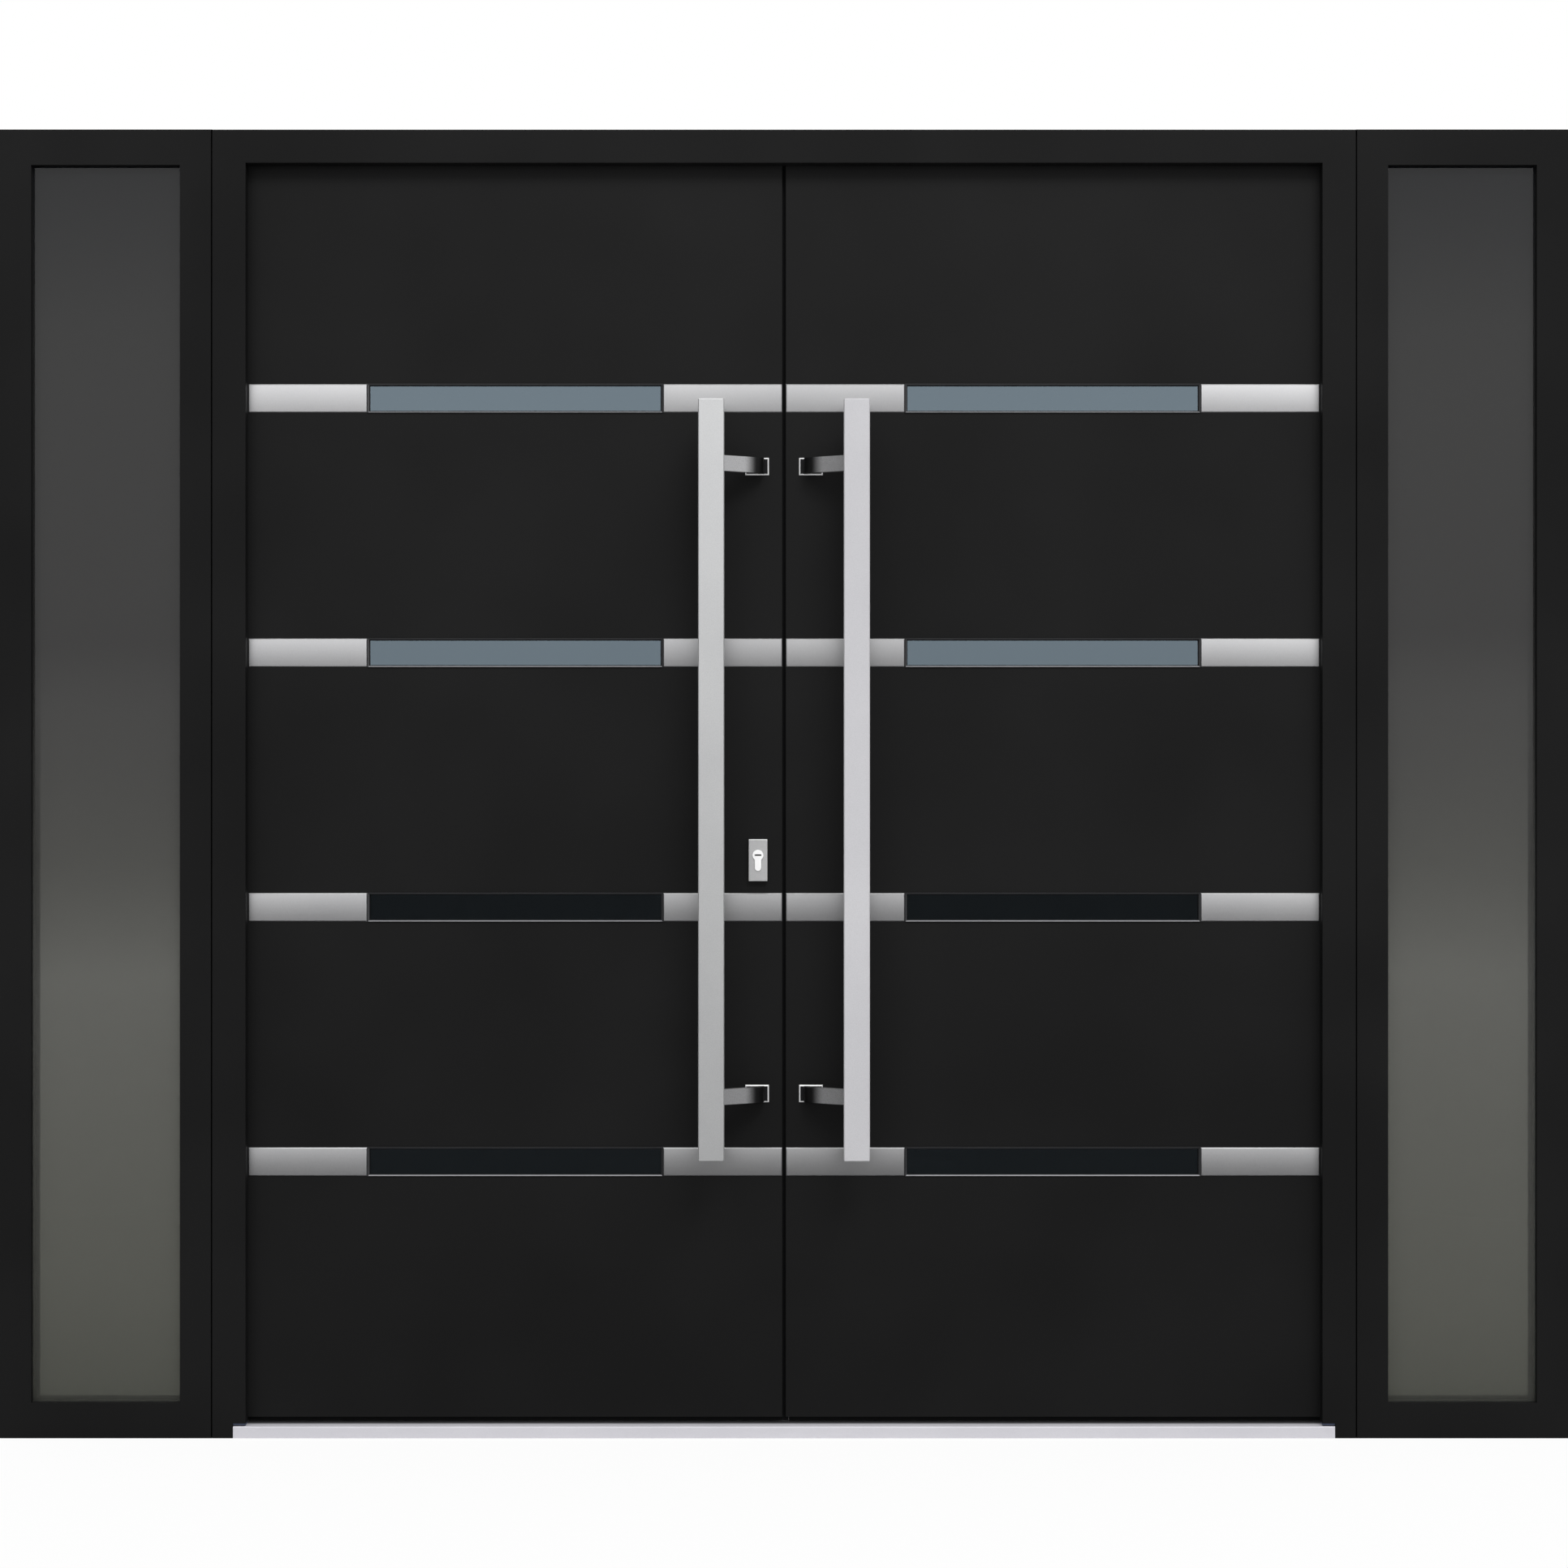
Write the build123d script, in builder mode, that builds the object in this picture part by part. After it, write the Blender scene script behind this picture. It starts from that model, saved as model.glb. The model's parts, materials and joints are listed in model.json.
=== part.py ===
from build123d import *

import os

# A double entry door with a glazed sidelight on each side, at full size, in millimetres.
# X runs across the doorway, with +X to the right as seen from outside. Y runs through the wall: the outside
# is at -Y, and both leaves open inwards, towards +Y. Z is up. The origin is on the floor, under the middle of
# the threshold and halfway through the depth of the door frame.
# The left leaf opens first and has the lock. The right leaf is bolted at its head and foot.

# Overall sizes
UNIT_WIDTH = 2438
UNIT_HEIGHT = 2032
SIDELIGHT_WIDTH = 331
FRAME_DEPTH = 100
SIDELIGHT_DEPTH = 70

# Door frame profile
FRAME_FACE = 52
STOP_DEPTH = 20
LEAF_OVERLAP = 14
EDGE_GAP = 6
SEAL_SPACE = 5
FRAME_SEAL_WIDTH = 9
SEAL_CLEARANCE = 0.4
SEAL_EDGE_RADIUS = 1.2
SEAL_ROOT_WIDTH = 4
SEAL_ROOT_DEPTH = 3
CORNER_RADIUS = 1.2

# Sidelight profile and glazing
STILE_FACE = 50
RAIL_FACE = 55
GLAZING_LIP = 10
GLASS_COVER = 15
GLASS_EDGE_GAP = 5
GASKET_THICKNESS = 3
GASKET_WIDTH = 8
PANE = 4
PANE_SPACE = 20
SPACER_WIDTH = 8
SPACER_INSET = 1
BEAD_CLEARANCE = 0.3
BEAD_CHAMFER = 6
JOINT_GROOVE_WIDTH = 2
JOINT_GROOVE_DEPTH = 6
ANCHOR_RADIUS = 4
ANCHOR_FIRST = 150
ANCHOR_PITCH = 570
ANCHOR_DEPTH = 35

# Threshold
THRESHOLD_FRONT = 18
THRESHOLD_HEIGHT = 20
THRESHOLD_SLOPE = 22
THRESHOLD_END_GAP = 0.5
END_BLOCK_HEIGHT = 3
END_BLOCK_SETBACK = 2
TREAD_GROOVES = 6
TREAD_PITCH = 9
TREAD_GROOVE_WIDTH = 3
TREAD_GROOVE_DEPTH = 1

# Leaves
LEAF_THICKNESS = 75
LEAF_FOOT_GAP = 8
MEETING_GAP = 5
MEETING_LIP = 12
MEETING_SETBACK = 5
SKIN = 1.5
SKIN_EDGE = 12
SKIN_RADIUS = 1

# Rows of windows and steel inlays on the leaves
ROWS = 4
ROW_PITCH = 397
ROW_MIDDLE = 1022
WINDOW_WIDTH = 461
WINDOW_HEIGHT = 46
WINDOW_BORDER = 2.5
WINDOW_BEVEL = 1.5
WINDOW_FIT = 0.3
WINDOW_GLASS_DEPTH = 4
WINDOW_PANES = 3
WINDOW_PANE = 6
WINDOW_PANE_SPACE = 18
INLAY_HEIGHT = 44
INLAY_PROUD = 1.5
INLAY_END_GAP = 0.5
INLAY_CHAMFER = 1.2

# Hinges
HINGE_HEIGHTS = (250, 1010, 1770)
HINGE_RADIUS = 10
HINGE_STAND_OFF = 12
HINGE_WEB = 10
KNUCKLE_LENGTH = 56
KNUCKLE_SPACE = 0.5
HINGE_PIN_RADIUS = 5
HINGE_PIN_CLEARANCE = 0.06
HINGE_PLATE_WIDTH = 25
HINGE_PLATE = 4

# Pull handles
PULL_MIDDLE = 1022
PULL_LENGTH = 1172
PULL_WIDTH = 40
PULL_THICKNESS = 20
PULL_FROM_CENTRE = 112
PULL_PROJECTION = 80
PULL_CHAMFER = 1.2
ARM_SPACING = 978
ARM_FROM_CENTRE = 36
ARM_HEIGHT = 24
ARM_THICKNESS = 10
ARM_STRAIGHT = 14
ARM_BEND_RADIUS = 14
FOOT_WIDTH = 37
FOOT_HEIGHT = 27
FOOT_THICKNESS = 3
FOOT_CHAMFER = 2
FOOT_FROM_CENTRE = 42

# Lock and its furniture
BACKSET = 38
CYLINDER_HEIGHT = 905
CYLINDER_RADIUS = 8.5
CYLINDER_TOTAL = 33
CYLINDER_WEB = 10
CYLINDER_FIT = 0.3
CYLINDER_PROUD = 2
KEYWAY_WIDTH = 11
KEYWAY_HEIGHT = 2.4
KEYWAY_DEPTH = 9
ESCUTCHEON_WIDTH = 29
ESCUTCHEON_HEIGHT = 65
ESCUTCHEON_THICKNESS = 8
ESCUTCHEON_CHAMFER = 1
LEVER_ABOVE_CYLINDER = 92
ROSE_SIZE = 50
ROSE_THICKNESS = 8
LEVER_SIZE = 18
LEVER_THICKNESS = 12
LEVER_REACH = 52
LEVER_LENGTH = 125
LEVER_BEND_RADIUS = 14
LEVER_CHAMFER = 2
LOCK_RAIL_WIDTH = 20
LOCK_RAIL_THICKNESS = 3
LOCK_RAIL_END = 132
BOLT_WIDTH = 9
BOLT_HEIGHT = 30
BOLT_DEPTH = 25
BOLT_FIT = 0.4
OUTER_BOLT_INSET = 170
DEADBOLT_BELOW_CYLINDER = 55
LATCH_BELOW_LEVER = 7
FLUSH_BOLT_LENGTH = 100
FLUSH_BOLT_END = 20
FLUSH_SLOT_LENGTH = 60
FLUSH_SLOT_WIDTH = 12
FLUSH_SLOT_DEPTH = 1.5
FLUSH_LEVER_LENGTH = 48
FLUSH_LEVER_WIDTH = 8

# Seals on the leaves
MEETING_SEAL_THICKNESS = 3
FOOT_SEAL_THICKNESS = 6
FOOT_SEAL_ROOT = 4
FOOT_SEAL_SETBACK = 12

# Places that follow from the sizes. A "reach" is a distance from the middle of the doorway.
OUTSIDE = -FRAME_DEPTH / 2
INSIDE = FRAME_DEPTH / 2
STOP_BACK = OUTSIDE + STOP_DEPTH
LEAF_OUTSIDE = STOP_BACK + SEAL_SPACE
LEAF_INSIDE = LEAF_OUTSIDE + LEAF_THICKNESS
FRAME_REACH = UNIT_WIDTH / 2 - SIDELIGHT_WIDTH
DOORWAY_REACH = FRAME_REACH - FRAME_FACE
LEAF_REACH = DOORWAY_REACH + LEAF_OVERLAP
REBATE_REACH = LEAF_REACH + EDGE_GAP
DOORWAY_TOP = UNIT_HEIGHT - FRAME_FACE
SIDELIGHT_BACK = OUTSIDE + SIDELIGHT_DEPTH
GLASS_OUTSIDE = OUTSIDE + GLAZING_LIP + GASKET_THICKNESS
GLASS_INSIDE = GLASS_OUTSIDE + 2 * PANE + PANE_SPACE
BEAD_OUTSIDE = GLASS_INSIDE + GASKET_THICKNESS
LEAF_TOP = DOORWAY_TOP + LEAF_OVERLAP
LEAF_FOOT = THRESHOLD_HEIGHT + LEAF_FOOT_GAP
LIP_REACH = MEETING_GAP / 2
MEETING_REACH = LIP_REACH + MEETING_SETBACK
LIP_BACK = LEAF_OUTSIDE + MEETING_LIP
EDGE_MIDDLE = (LIP_BACK + LEAF_INSIDE) / 2
WINDOW_MIDDLE = (DOORWAY_REACH + LIP_REACH) / 2
ROW_HEIGHTS = [ROW_MIDDLE + (row - (ROWS - 1) / 2) * ROW_PITCH for row in range(ROWS)]
HINGE_AXIS_REACH = LEAF_REACH + EDGE_GAP / 2
HINGE_AXIS_DEPTH = LEAF_INSIDE + HINGE_STAND_OFF
PULL_BACK = LEAF_OUTSIDE - PULL_PROJECTION + PULL_THICKNESS
ARM_HEIGHTS = (PULL_MIDDLE - ARM_SPACING / 2, PULL_MIDDLE + ARM_SPACING / 2)
CYLINDER_REACH = LIP_REACH + BACKSET
LEVER_HEIGHT = CYLINDER_HEIGHT + LEVER_ABOVE_CYLINDER
LOCK_RAIL_LOW = LEAF_FOOT + LOCK_RAIL_END
LOCK_RAIL_HIGH = LEAF_TOP - LOCK_RAIL_END
BOLT_HEIGHTS = (
    LOCK_RAIL_LOW + OUTER_BOLT_INSET,
    CYLINDER_HEIGHT - DEADBOLT_BELOW_CYLINDER,
    LEVER_HEIGHT - LATCH_BELOW_LEVER,
    LOCK_RAIL_HIGH - OUTER_BOLT_INSET,
)
LEFT = -1
RIGHT = 1


def save(part, name):
    """Names a finished piece and writes it to its own file."""
    part.label = name
    export_step(part, f"parts/{name}.step")


def both(make, side):
    """Both of a sidelight's stiles, or both of its rails, as one part."""
    return Compound(children=[make(side, LEFT), make(side, RIGHT)])


def outward_plane(depth):
    """The upright plane at this depth that extrudes outwards. Its own X is X and its own Y is Z."""
    return Plane.XZ.offset(-depth)


def inward_plane(depth):
    """The upright plane at this depth that extrudes inwards. Its own X runs towards -X and its own Y is Z."""
    return Plane(origin=(0, depth, 0), x_dir=(-1, 0, 0), z_dir=(0, 1, 0))


def across(start, end, low, high, mode=Mode.ADD):
    """A rectangle in a sketch, between two places across and two heights."""
    with Locations(((start + end) / 2, (low + high) / 2)):
        Rectangle(abs(end - start), abs(high - low), mode=mode)


def mitre(corner, towards, keep_point):
    """Cuts the piece in hand along a line from a corner in the XZ plane, and keeps keep_point's side."""
    line = Vector(towards[0] - corner[0], 0, towards[1] - corner[1]).normalized()
    normal = line.cross(Vector(0, 1, 0))
    aim = Vector(keep_point[0] - corner[0], 0, keep_point[1] - corner[1])
    if normal.dot(aim) < 0:
        normal = -normal
    split(bisect_by=Plane(origin=(corner[0], 0, corner[1]), z_dir=normal), keep=Keep.TOP)


def bar_plane(start, outward):
    """The plane of a bar's section: its own X points away from the opening and its own Y points inwards."""
    direction = Vector(*outward)
    return Plane(origin=start, x_dir=direction, z_dir=direction.cross(Vector(0, 1, 0)))


# Door frame


def frame_section():
    """The door frame's profile: a stop in front, a rebate behind it and a groove for the seal's root."""
    rebate = LEAF_OVERLAP + EDGE_GAP
    groove = (FRAME_SEAL_WIDTH - SEAL_ROOT_WIDTH) / 2
    with BuildLine() as outline:
        Polyline(
            (0, OUTSIDE),
            (FRAME_FACE, OUTSIDE),
            (FRAME_FACE, INSIDE),
            (rebate, INSIDE),
            (rebate, STOP_BACK),
            (groove + SEAL_ROOT_WIDTH, STOP_BACK),
            (groove + SEAL_ROOT_WIDTH, STOP_BACK - SEAL_ROOT_DEPTH),
            (groove, STOP_BACK - SEAL_ROOT_DEPTH),
            (groove, STOP_BACK),
            (0, STOP_BACK),
            close=True,
        )
    make_face(outline.edges())


def door_jamb(side):
    """One upright of the door frame, mitred to the head, with its stop cut off above the threshold."""
    edge, outer = side * DOORWAY_REACH, side * FRAME_REACH
    start = (edge, 0, 0) if side == RIGHT else (edge, 0, UNIT_HEIGHT)
    with BuildPart() as jamb:
        with BuildSketch(bar_plane(start, (side, 0, 0))):
            frame_section()
        extrude(amount=UNIT_HEIGHT)
        fillet(jamb.edges().filter_by(Axis.Z).group_by(Axis.Y)[0], CORNER_RADIUS)
        mitre((outer, UNIT_HEIGHT), (edge, DOORWAY_TOP), (edge, 0))
        with BuildSketch(outward_plane(STOP_BACK)):
            across(0, side * REBATE_REACH, 0, THRESHOLD_HEIGHT + END_BLOCK_HEIGHT)
        extrude(amount=STOP_DEPTH, mode=Mode.SUBTRACT)
    return jamb.part


def door_head():
    """The top of the door frame, mitred to both jambs."""
    with BuildPart() as head:
        with BuildSketch(bar_plane((FRAME_REACH, 0, DOORWAY_TOP), (0, 0, 1))):
            frame_section()
        extrude(amount=2 * FRAME_REACH)
        fillet(head.edges().filter_by(Axis.X).group_by(Axis.Y)[0], CORNER_RADIUS)
        for side in (LEFT, RIGHT):
            mitre((side * FRAME_REACH, UNIT_HEIGHT), (side * DOORWAY_REACH, DOORWAY_TOP), (0, UNIT_HEIGHT))
    return head.part


def frame_seal():
    """The rubber seal round the doorway, rooted in the back of the stop."""
    foot = THRESHOLD_HEIGHT + END_BLOCK_HEIGHT
    groove = (FRAME_SEAL_WIDTH - SEAL_ROOT_WIDTH) / 2
    with BuildPart() as seal:
        with BuildSketch(outward_plane(LEAF_OUTSIDE - SEAL_CLEARANCE)):
            seal_outline(0, FRAME_SEAL_WIDTH, foot)
        extrude(amount=SEAL_SPACE - SEAL_CLEARANCE)
        fillet(seal.edges().group_by(Axis.Y)[-1], SEAL_EDGE_RADIUS)
        with BuildSketch(outward_plane(STOP_BACK)):
            seal_outline(groove, groove + SEAL_ROOT_WIDTH, foot)
        extrude(amount=SEAL_ROOT_DEPTH)
    return seal.part


def seal_outline(inner, outer, foot):
    """A flat loop open at the foot, between two distances out from the doorway's edge."""
    across(-DOORWAY_REACH - outer, DOORWAY_REACH + outer, foot, DOORWAY_TOP + outer)
    across(-DOORWAY_REACH - inner, DOORWAY_REACH + inner, foot, DOORWAY_TOP + inner, mode=Mode.SUBTRACT)


def threshold():
    """The aluminium sill between the jambs: a square nose, a slight fall outwards and a grooved tread."""
    half_length = REBATE_REACH - THRESHOLD_END_GAP
    tread_start = INSIDE - TREAD_GROOVES * TREAD_PITCH
    with BuildPart() as sill:
        with BuildSketch(Plane.YZ.offset(-half_length)):
            with BuildLine():
                Polyline(
                    (OUTSIDE, 0),
                    (INSIDE, 0),
                    (INSIDE, THRESHOLD_HEIGHT),
                    (OUTSIDE + THRESHOLD_SLOPE, THRESHOLD_HEIGHT),
                    (OUTSIDE, THRESHOLD_FRONT),
                    close=True,
                )
            make_face()
            with Locations((tread_start, THRESHOLD_HEIGHT)):
                with GridLocations(TREAD_PITCH, 1, TREAD_GROOVES, 1, align=(Align.MIN, Align.CENTER)):
                    Rectangle(TREAD_GROOVE_WIDTH, 2 * TREAD_GROOVE_DEPTH, mode=Mode.SUBTRACT)
        extrude(amount=2 * half_length)
        front = sill.faces().filter_by(Axis.Y).sort_by(Axis.Y)[0]
        fillet(front.edges().filter_by(Axis.X).sort_by(Axis.Z)[-1], CORNER_RADIUS)
    return sill.part


def threshold_end_blocks():
    """The small plastic blocks between the threshold and the cut ends of the two stops."""
    inner = DOORWAY_REACH + THRESHOLD_END_GAP
    outer = REBATE_REACH - THRESHOLD_END_GAP
    with BuildPart() as blocks:
        for side in (LEFT, RIGHT):
            with BuildSketch(outward_plane(STOP_BACK)):
                across(side * inner, side * outer, THRESHOLD_HEIGHT, THRESHOLD_HEIGHT + END_BLOCK_HEIGHT)
            extrude(amount=STOP_DEPTH - END_BLOCK_SETBACK)
    return blocks.part


# Sidelights


def sidelight_frame(side):
    """The two edges of a sidelight across the unit: at the wall, and at the door frame."""
    return side * UNIT_WIDTH / 2, side * FRAME_REACH


def sidelight_section(face):
    """A sidelight bar's profile: an outside lip, and behind it the rebate for the glass and the beads."""
    with BuildLine() as outline:
        Polyline(
            (0, OUTSIDE),
            (face, OUTSIDE),
            (face, SIDELIGHT_BACK),
            (GLASS_COVER, SIDELIGHT_BACK),
            (GLASS_COVER, OUTSIDE + GLAZING_LIP),
            (0, OUTSIDE + GLAZING_LIP),
            close=True,
        )
    make_face(outline.edges())


def sidelight_opening(side):
    """The sight size of a sidelight: (left, right, low, high)."""
    ends = sorted(sidelight_frame(side))
    return ends[0] + STILE_FACE, ends[1] - STILE_FACE, RAIL_FACE, UNIT_HEIGHT - RAIL_FACE


def sidelight_corners(side):
    """A sidelight's outer and opening corners in pairs, keyed by the end and the height they are at."""
    ends = sorted(sidelight_frame(side))
    left, right, low, high = sidelight_opening(side)
    return {
        (LEFT, LEFT): ((ends[0], 0), (left, low)),
        (LEFT, RIGHT): ((ends[0], UNIT_HEIGHT), (left, high)),
        (RIGHT, LEFT): ((ends[1], 0), (right, low)),
        (RIGHT, RIGHT): ((ends[1], UNIT_HEIGHT), (right, high)),
    }


def sidelight_stile(side, end):
    """One upright of a sidelight, mitred at both ends.

    The one beside the door has a thin groove at the joint. The one at the wall has four anchor holes.
    """
    left, right, low, high = sidelight_opening(side)
    corners = sidelight_corners(side)
    edge = left if end == LEFT else right
    start = (edge, 0, 0) if end == RIGHT else (edge, 0, UNIT_HEIGHT)
    with BuildPart() as stile:
        with BuildSketch(bar_plane(start, (end, 0, 0))):
            sidelight_section(STILE_FACE)
            if end != side:
                with Locations((STILE_FACE, OUTSIDE)):
                    Rectangle(2 * JOINT_GROOVE_WIDTH, 2 * JOINT_GROOVE_DEPTH, mode=Mode.SUBTRACT)
        extrude(amount=UNIT_HEIGHT)
        for height in (LEFT, RIGHT):
            mitre(*corners[end, height], (edge, UNIT_HEIGHT / 2))
        if end == side:
            with BuildSketch(Plane.YZ.offset(side * UNIT_WIDTH / 2)):
                with Locations(*[(OUTSIDE + ANCHOR_DEPTH, height) for height in anchor_heights()]):
                    Circle(ANCHOR_RADIUS)
            extrude(amount=-side * STILE_FACE, mode=Mode.SUBTRACT)
    return stile.part


def anchor_heights():
    """The heights of the wall anchors: a pair above the foot and a pair below the top."""
    from_end = (ANCHOR_FIRST, ANCHOR_FIRST + ANCHOR_PITCH)
    return [*from_end, *[UNIT_HEIGHT - height for height in from_end]]


def sidelight_rail(side, height):
    """The top or bottom bar of a sidelight, mitred at both ends."""
    left, right, low, high = sidelight_opening(side)
    corners = sidelight_corners(side)
    ends = sorted(sidelight_frame(side))
    edge = low if height == LEFT else high
    start = (ends[1] if height == RIGHT else ends[0], 0, edge)
    with BuildPart() as rail:
        with BuildSketch(bar_plane(start, (0, 0, height))):
            sidelight_section(RAIL_FACE)
        extrude(amount=SIDELIGHT_WIDTH)
        for end in (LEFT, RIGHT):
            mitre(*corners[end, height], ((left + right) / 2, edge))
    return rail.part


def ring(opening, grow, width):
    """A flat frame in a sketch, of a given width, whose outer edge lies grow beyond the opening."""
    left, right, low, high = opening
    across(left - grow, right + grow, low - grow, high + grow)
    inset = grow - width
    across(left - inset, right + inset, low - inset, high + inset, mode=Mode.SUBTRACT)


def sidelight_glass():
    """The two panes of each sidelight's sealed unit."""
    grow = GLASS_COVER - GLASS_EDGE_GAP
    with BuildPart() as panes:
        for depth in (GLASS_OUTSIDE + PANE, GLASS_INSIDE):
            with BuildSketch(outward_plane(depth)):
                for side in (LEFT, RIGHT):
                    left, right, low, high = sidelight_opening(side)
                    across(left - grow, right + grow, low - grow, high + grow)
            extrude(amount=PANE)
    return panes.part


def sidelight_spacers():
    """The hollow bars that keep each sidelight's two panes apart."""
    grow = GLASS_COVER - GLASS_EDGE_GAP - SPACER_INSET
    with BuildPart() as spacers:
        with BuildSketch(outward_plane(GLASS_INSIDE - PANE)):
            for side in (LEFT, RIGHT):
                ring(sidelight_opening(side), grow, SPACER_WIDTH)
        extrude(amount=PANE_SPACE)
    return spacers.part


def sidelight_gaskets():
    """The rubber loops outside and inside the sidelights' glass."""
    with BuildPart() as gaskets:
        for depth in (GLASS_OUTSIDE, BEAD_OUTSIDE):
            with BuildSketch(outward_plane(depth)):
                for side in (LEFT, RIGHT):
                    ring(sidelight_opening(side), GASKET_WIDTH, GASKET_WIDTH)
            extrude(amount=GASKET_THICKNESS)
    return gaskets.part


def sidelight_beads():
    """The beads that hold the sidelights' glass from inside, four a side, each with a sloped front edge."""
    depth = SIDELIGHT_BACK - BEAD_OUTSIDE
    cover = GLASS_COVER - BEAD_CLEARANCE
    with BuildPart() as beads:
        with BuildSketch(outward_plane(SIDELIGHT_BACK)):
            for side in (LEFT, RIGHT):
                left, right, low, high = sidelight_opening(side)
                across(left - cover, left, low - cover, high + cover)
                across(right, right + cover, low - cover, high + cover)
                across(left + BEAD_CLEARANCE, right - BEAD_CLEARANCE, low - cover, low)
                across(left + BEAD_CLEARANCE, right - BEAD_CLEARANCE, high, high + cover)
        extrude(amount=depth)
        inside_edges = beads.edges().group_by(Axis.Y)[-1]
        chamfer([edge for edge in inside_edges if on_sight_line(edge)], BEAD_CHAMFER)
    return beads.part


def on_sight_line(edge):
    """Whether an edge of a bead runs along the edge of a sidelight's opening."""
    middle = edge.center()
    size = edge.bounding_box().size
    left, right, low, high = sidelight_opening(RIGHT if middle.X > 0 else LEFT)
    if size.Z > size.X:
        gap = min(abs(middle.X - left), abs(middle.X - right))
    else:
        gap = min(abs(middle.Z - low), abs(middle.Z - high))
    return gap < BEAD_CLEARANCE / 2


# Leaves


def leaf_outline(side, meeting, inset=0):
    """A leaf's outline in a sketch on an upright plane, from its meeting edge to its hinge edge."""
    across(side * (meeting + inset), side * (LEAF_REACH - inset), LEAF_FOOT + inset, LEAF_TOP - inset)


def window_cells(side):
    """The centres of one leaf's windows, as places in an upright sketch."""
    return Locations(*[(side * WINDOW_MIDDLE, height) for height in ROW_HEIGHTS])


def cylinder_outline(side, grow=0):
    """The pear-shaped outline of the lock cylinder, grown by a clearance."""
    radius = CYLINDER_RADIUS + grow
    web = CYLINDER_WEB + 2 * grow
    foot = CYLINDER_TOTAL - CYLINDER_RADIUS - CYLINDER_WEB / 2
    with Locations((side * CYLINDER_REACH, CYLINDER_HEIGHT)):
        Circle(radius)
    with Locations((side * CYLINDER_REACH, CYLINDER_HEIGHT - foot / 2)):
        Rectangle(web, foot)
    with Locations((side * CYLINDER_REACH, CYLINDER_HEIGHT - foot)):
        Circle(web / 2)


def edge_pocket(side, low, high, depth, width):
    """Cuts a pocket into the meeting edge of the leaf in hand, centred on that edge."""
    with BuildSketch(outward_plane(EDGE_MIDDLE + width / 2)) as outline:
        across(side * MEETING_REACH, side * (MEETING_REACH + depth), low, high)
    extrude(outline.sketch, amount=width, mode=Mode.SUBTRACT)


def leaf_core(side):
    """The body of a leaf between its two skins: stepped at the meeting edge and pierced for the windows."""
    with BuildPart() as core:
        with BuildSketch(outward_plane(LIP_BACK)):
            leaf_outline(side, LIP_REACH, SKIN)
        extrude(amount=MEETING_LIP - SKIN)
        with BuildSketch(outward_plane(LEAF_INSIDE - SKIN_EDGE)):
            leaf_outline(side, MEETING_REACH)
        extrude(amount=LEAF_INSIDE - SKIN_EDGE - LIP_BACK)
        with BuildSketch(outward_plane(LEAF_INSIDE - SKIN)):
            leaf_outline(side, MEETING_REACH, SKIN)
        extrude(amount=SKIN_EDGE - SKIN)
        with BuildSketch(outward_plane(LEAF_INSIDE)):
            with window_cells(side):
                Rectangle(WINDOW_WIDTH + 2 * WINDOW_FIT, WINDOW_HEIGHT + 2 * WINDOW_FIT)
        extrude(amount=LEAF_THICKNESS, mode=Mode.SUBTRACT)
        seal_line = LEAF_OUTSIDE + FOOT_SEAL_SETBACK
        with BuildSketch(outward_plane(seal_line + FOOT_SEAL_THICKNESS)):
            across(side * MEETING_REACH, side * LEAF_REACH, LEAF_FOOT, LEAF_FOOT + FOOT_SEAL_ROOT)
        extrude(amount=FOOT_SEAL_THICKNESS, mode=Mode.SUBTRACT)
        edge_pocket(side, LOCK_RAIL_LOW, LOCK_RAIL_HIGH, LOCK_RAIL_THICKNESS, LOCK_RAIL_WIDTH)
        for height in BOLT_HEIGHTS:
            low, high = height - BOLT_HEIGHT / 2 - BOLT_FIT, height + BOLT_HEIGHT / 2 + BOLT_FIT
            edge_pocket(side, low, high, BOLT_DEPTH + LOCK_RAIL_THICKNESS, BOLT_WIDTH + 2 * BOLT_FIT)
        if side == LEFT:
            with BuildSketch(outward_plane(LEAF_INSIDE)):
                cylinder_outline(side, CYLINDER_FIT)
            extrude(amount=LEAF_THICKNESS, mode=Mode.SUBTRACT)
        else:
            for low, high in flush_bolt_spans():
                edge_pocket(side, low, high, LOCK_RAIL_THICKNESS, LOCK_RAIL_WIDTH)
    return core.part


def leaf_skin(side, outside):
    """A sheet-steel tray over one face of a leaf, folded round its edges, with the windows cut out."""
    meeting = LIP_REACH if outside else MEETING_REACH
    face = LEAF_OUTSIDE if outside else LEAF_INSIDE
    plane = inward_plane if outside else outward_plane
    turn = -1 if outside else 1
    with BuildPart() as skin:
        with BuildSketch(plane(face)):
            leaf_outline(turn * side, meeting)
        extrude(amount=SKIN_EDGE)
        with BuildSketch(plane(face + (SKIN if outside else -SKIN))):
            leaf_outline(turn * side, meeting, SKIN)
        extrude(amount=SKIN_EDGE, mode=Mode.SUBTRACT)
        rim = skin.faces().filter_by(Axis.Y).sort_by(Axis.Y)[0 if outside else -1].edges()
        fillet(rim, SKIN_RADIUS)
        with BuildSketch(plane(face)):
            with window_cells(turn * side):
                Rectangle(WINDOW_WIDTH + 2 * WINDOW_FIT, WINDOW_HEIGHT + 2 * WINDOW_FIT)
            if side == LEFT:
                cylinder_outline(turn * side, CYLINDER_FIT)
        extrude(amount=SKIN, mode=Mode.SUBTRACT)
    return skin.part


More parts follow.
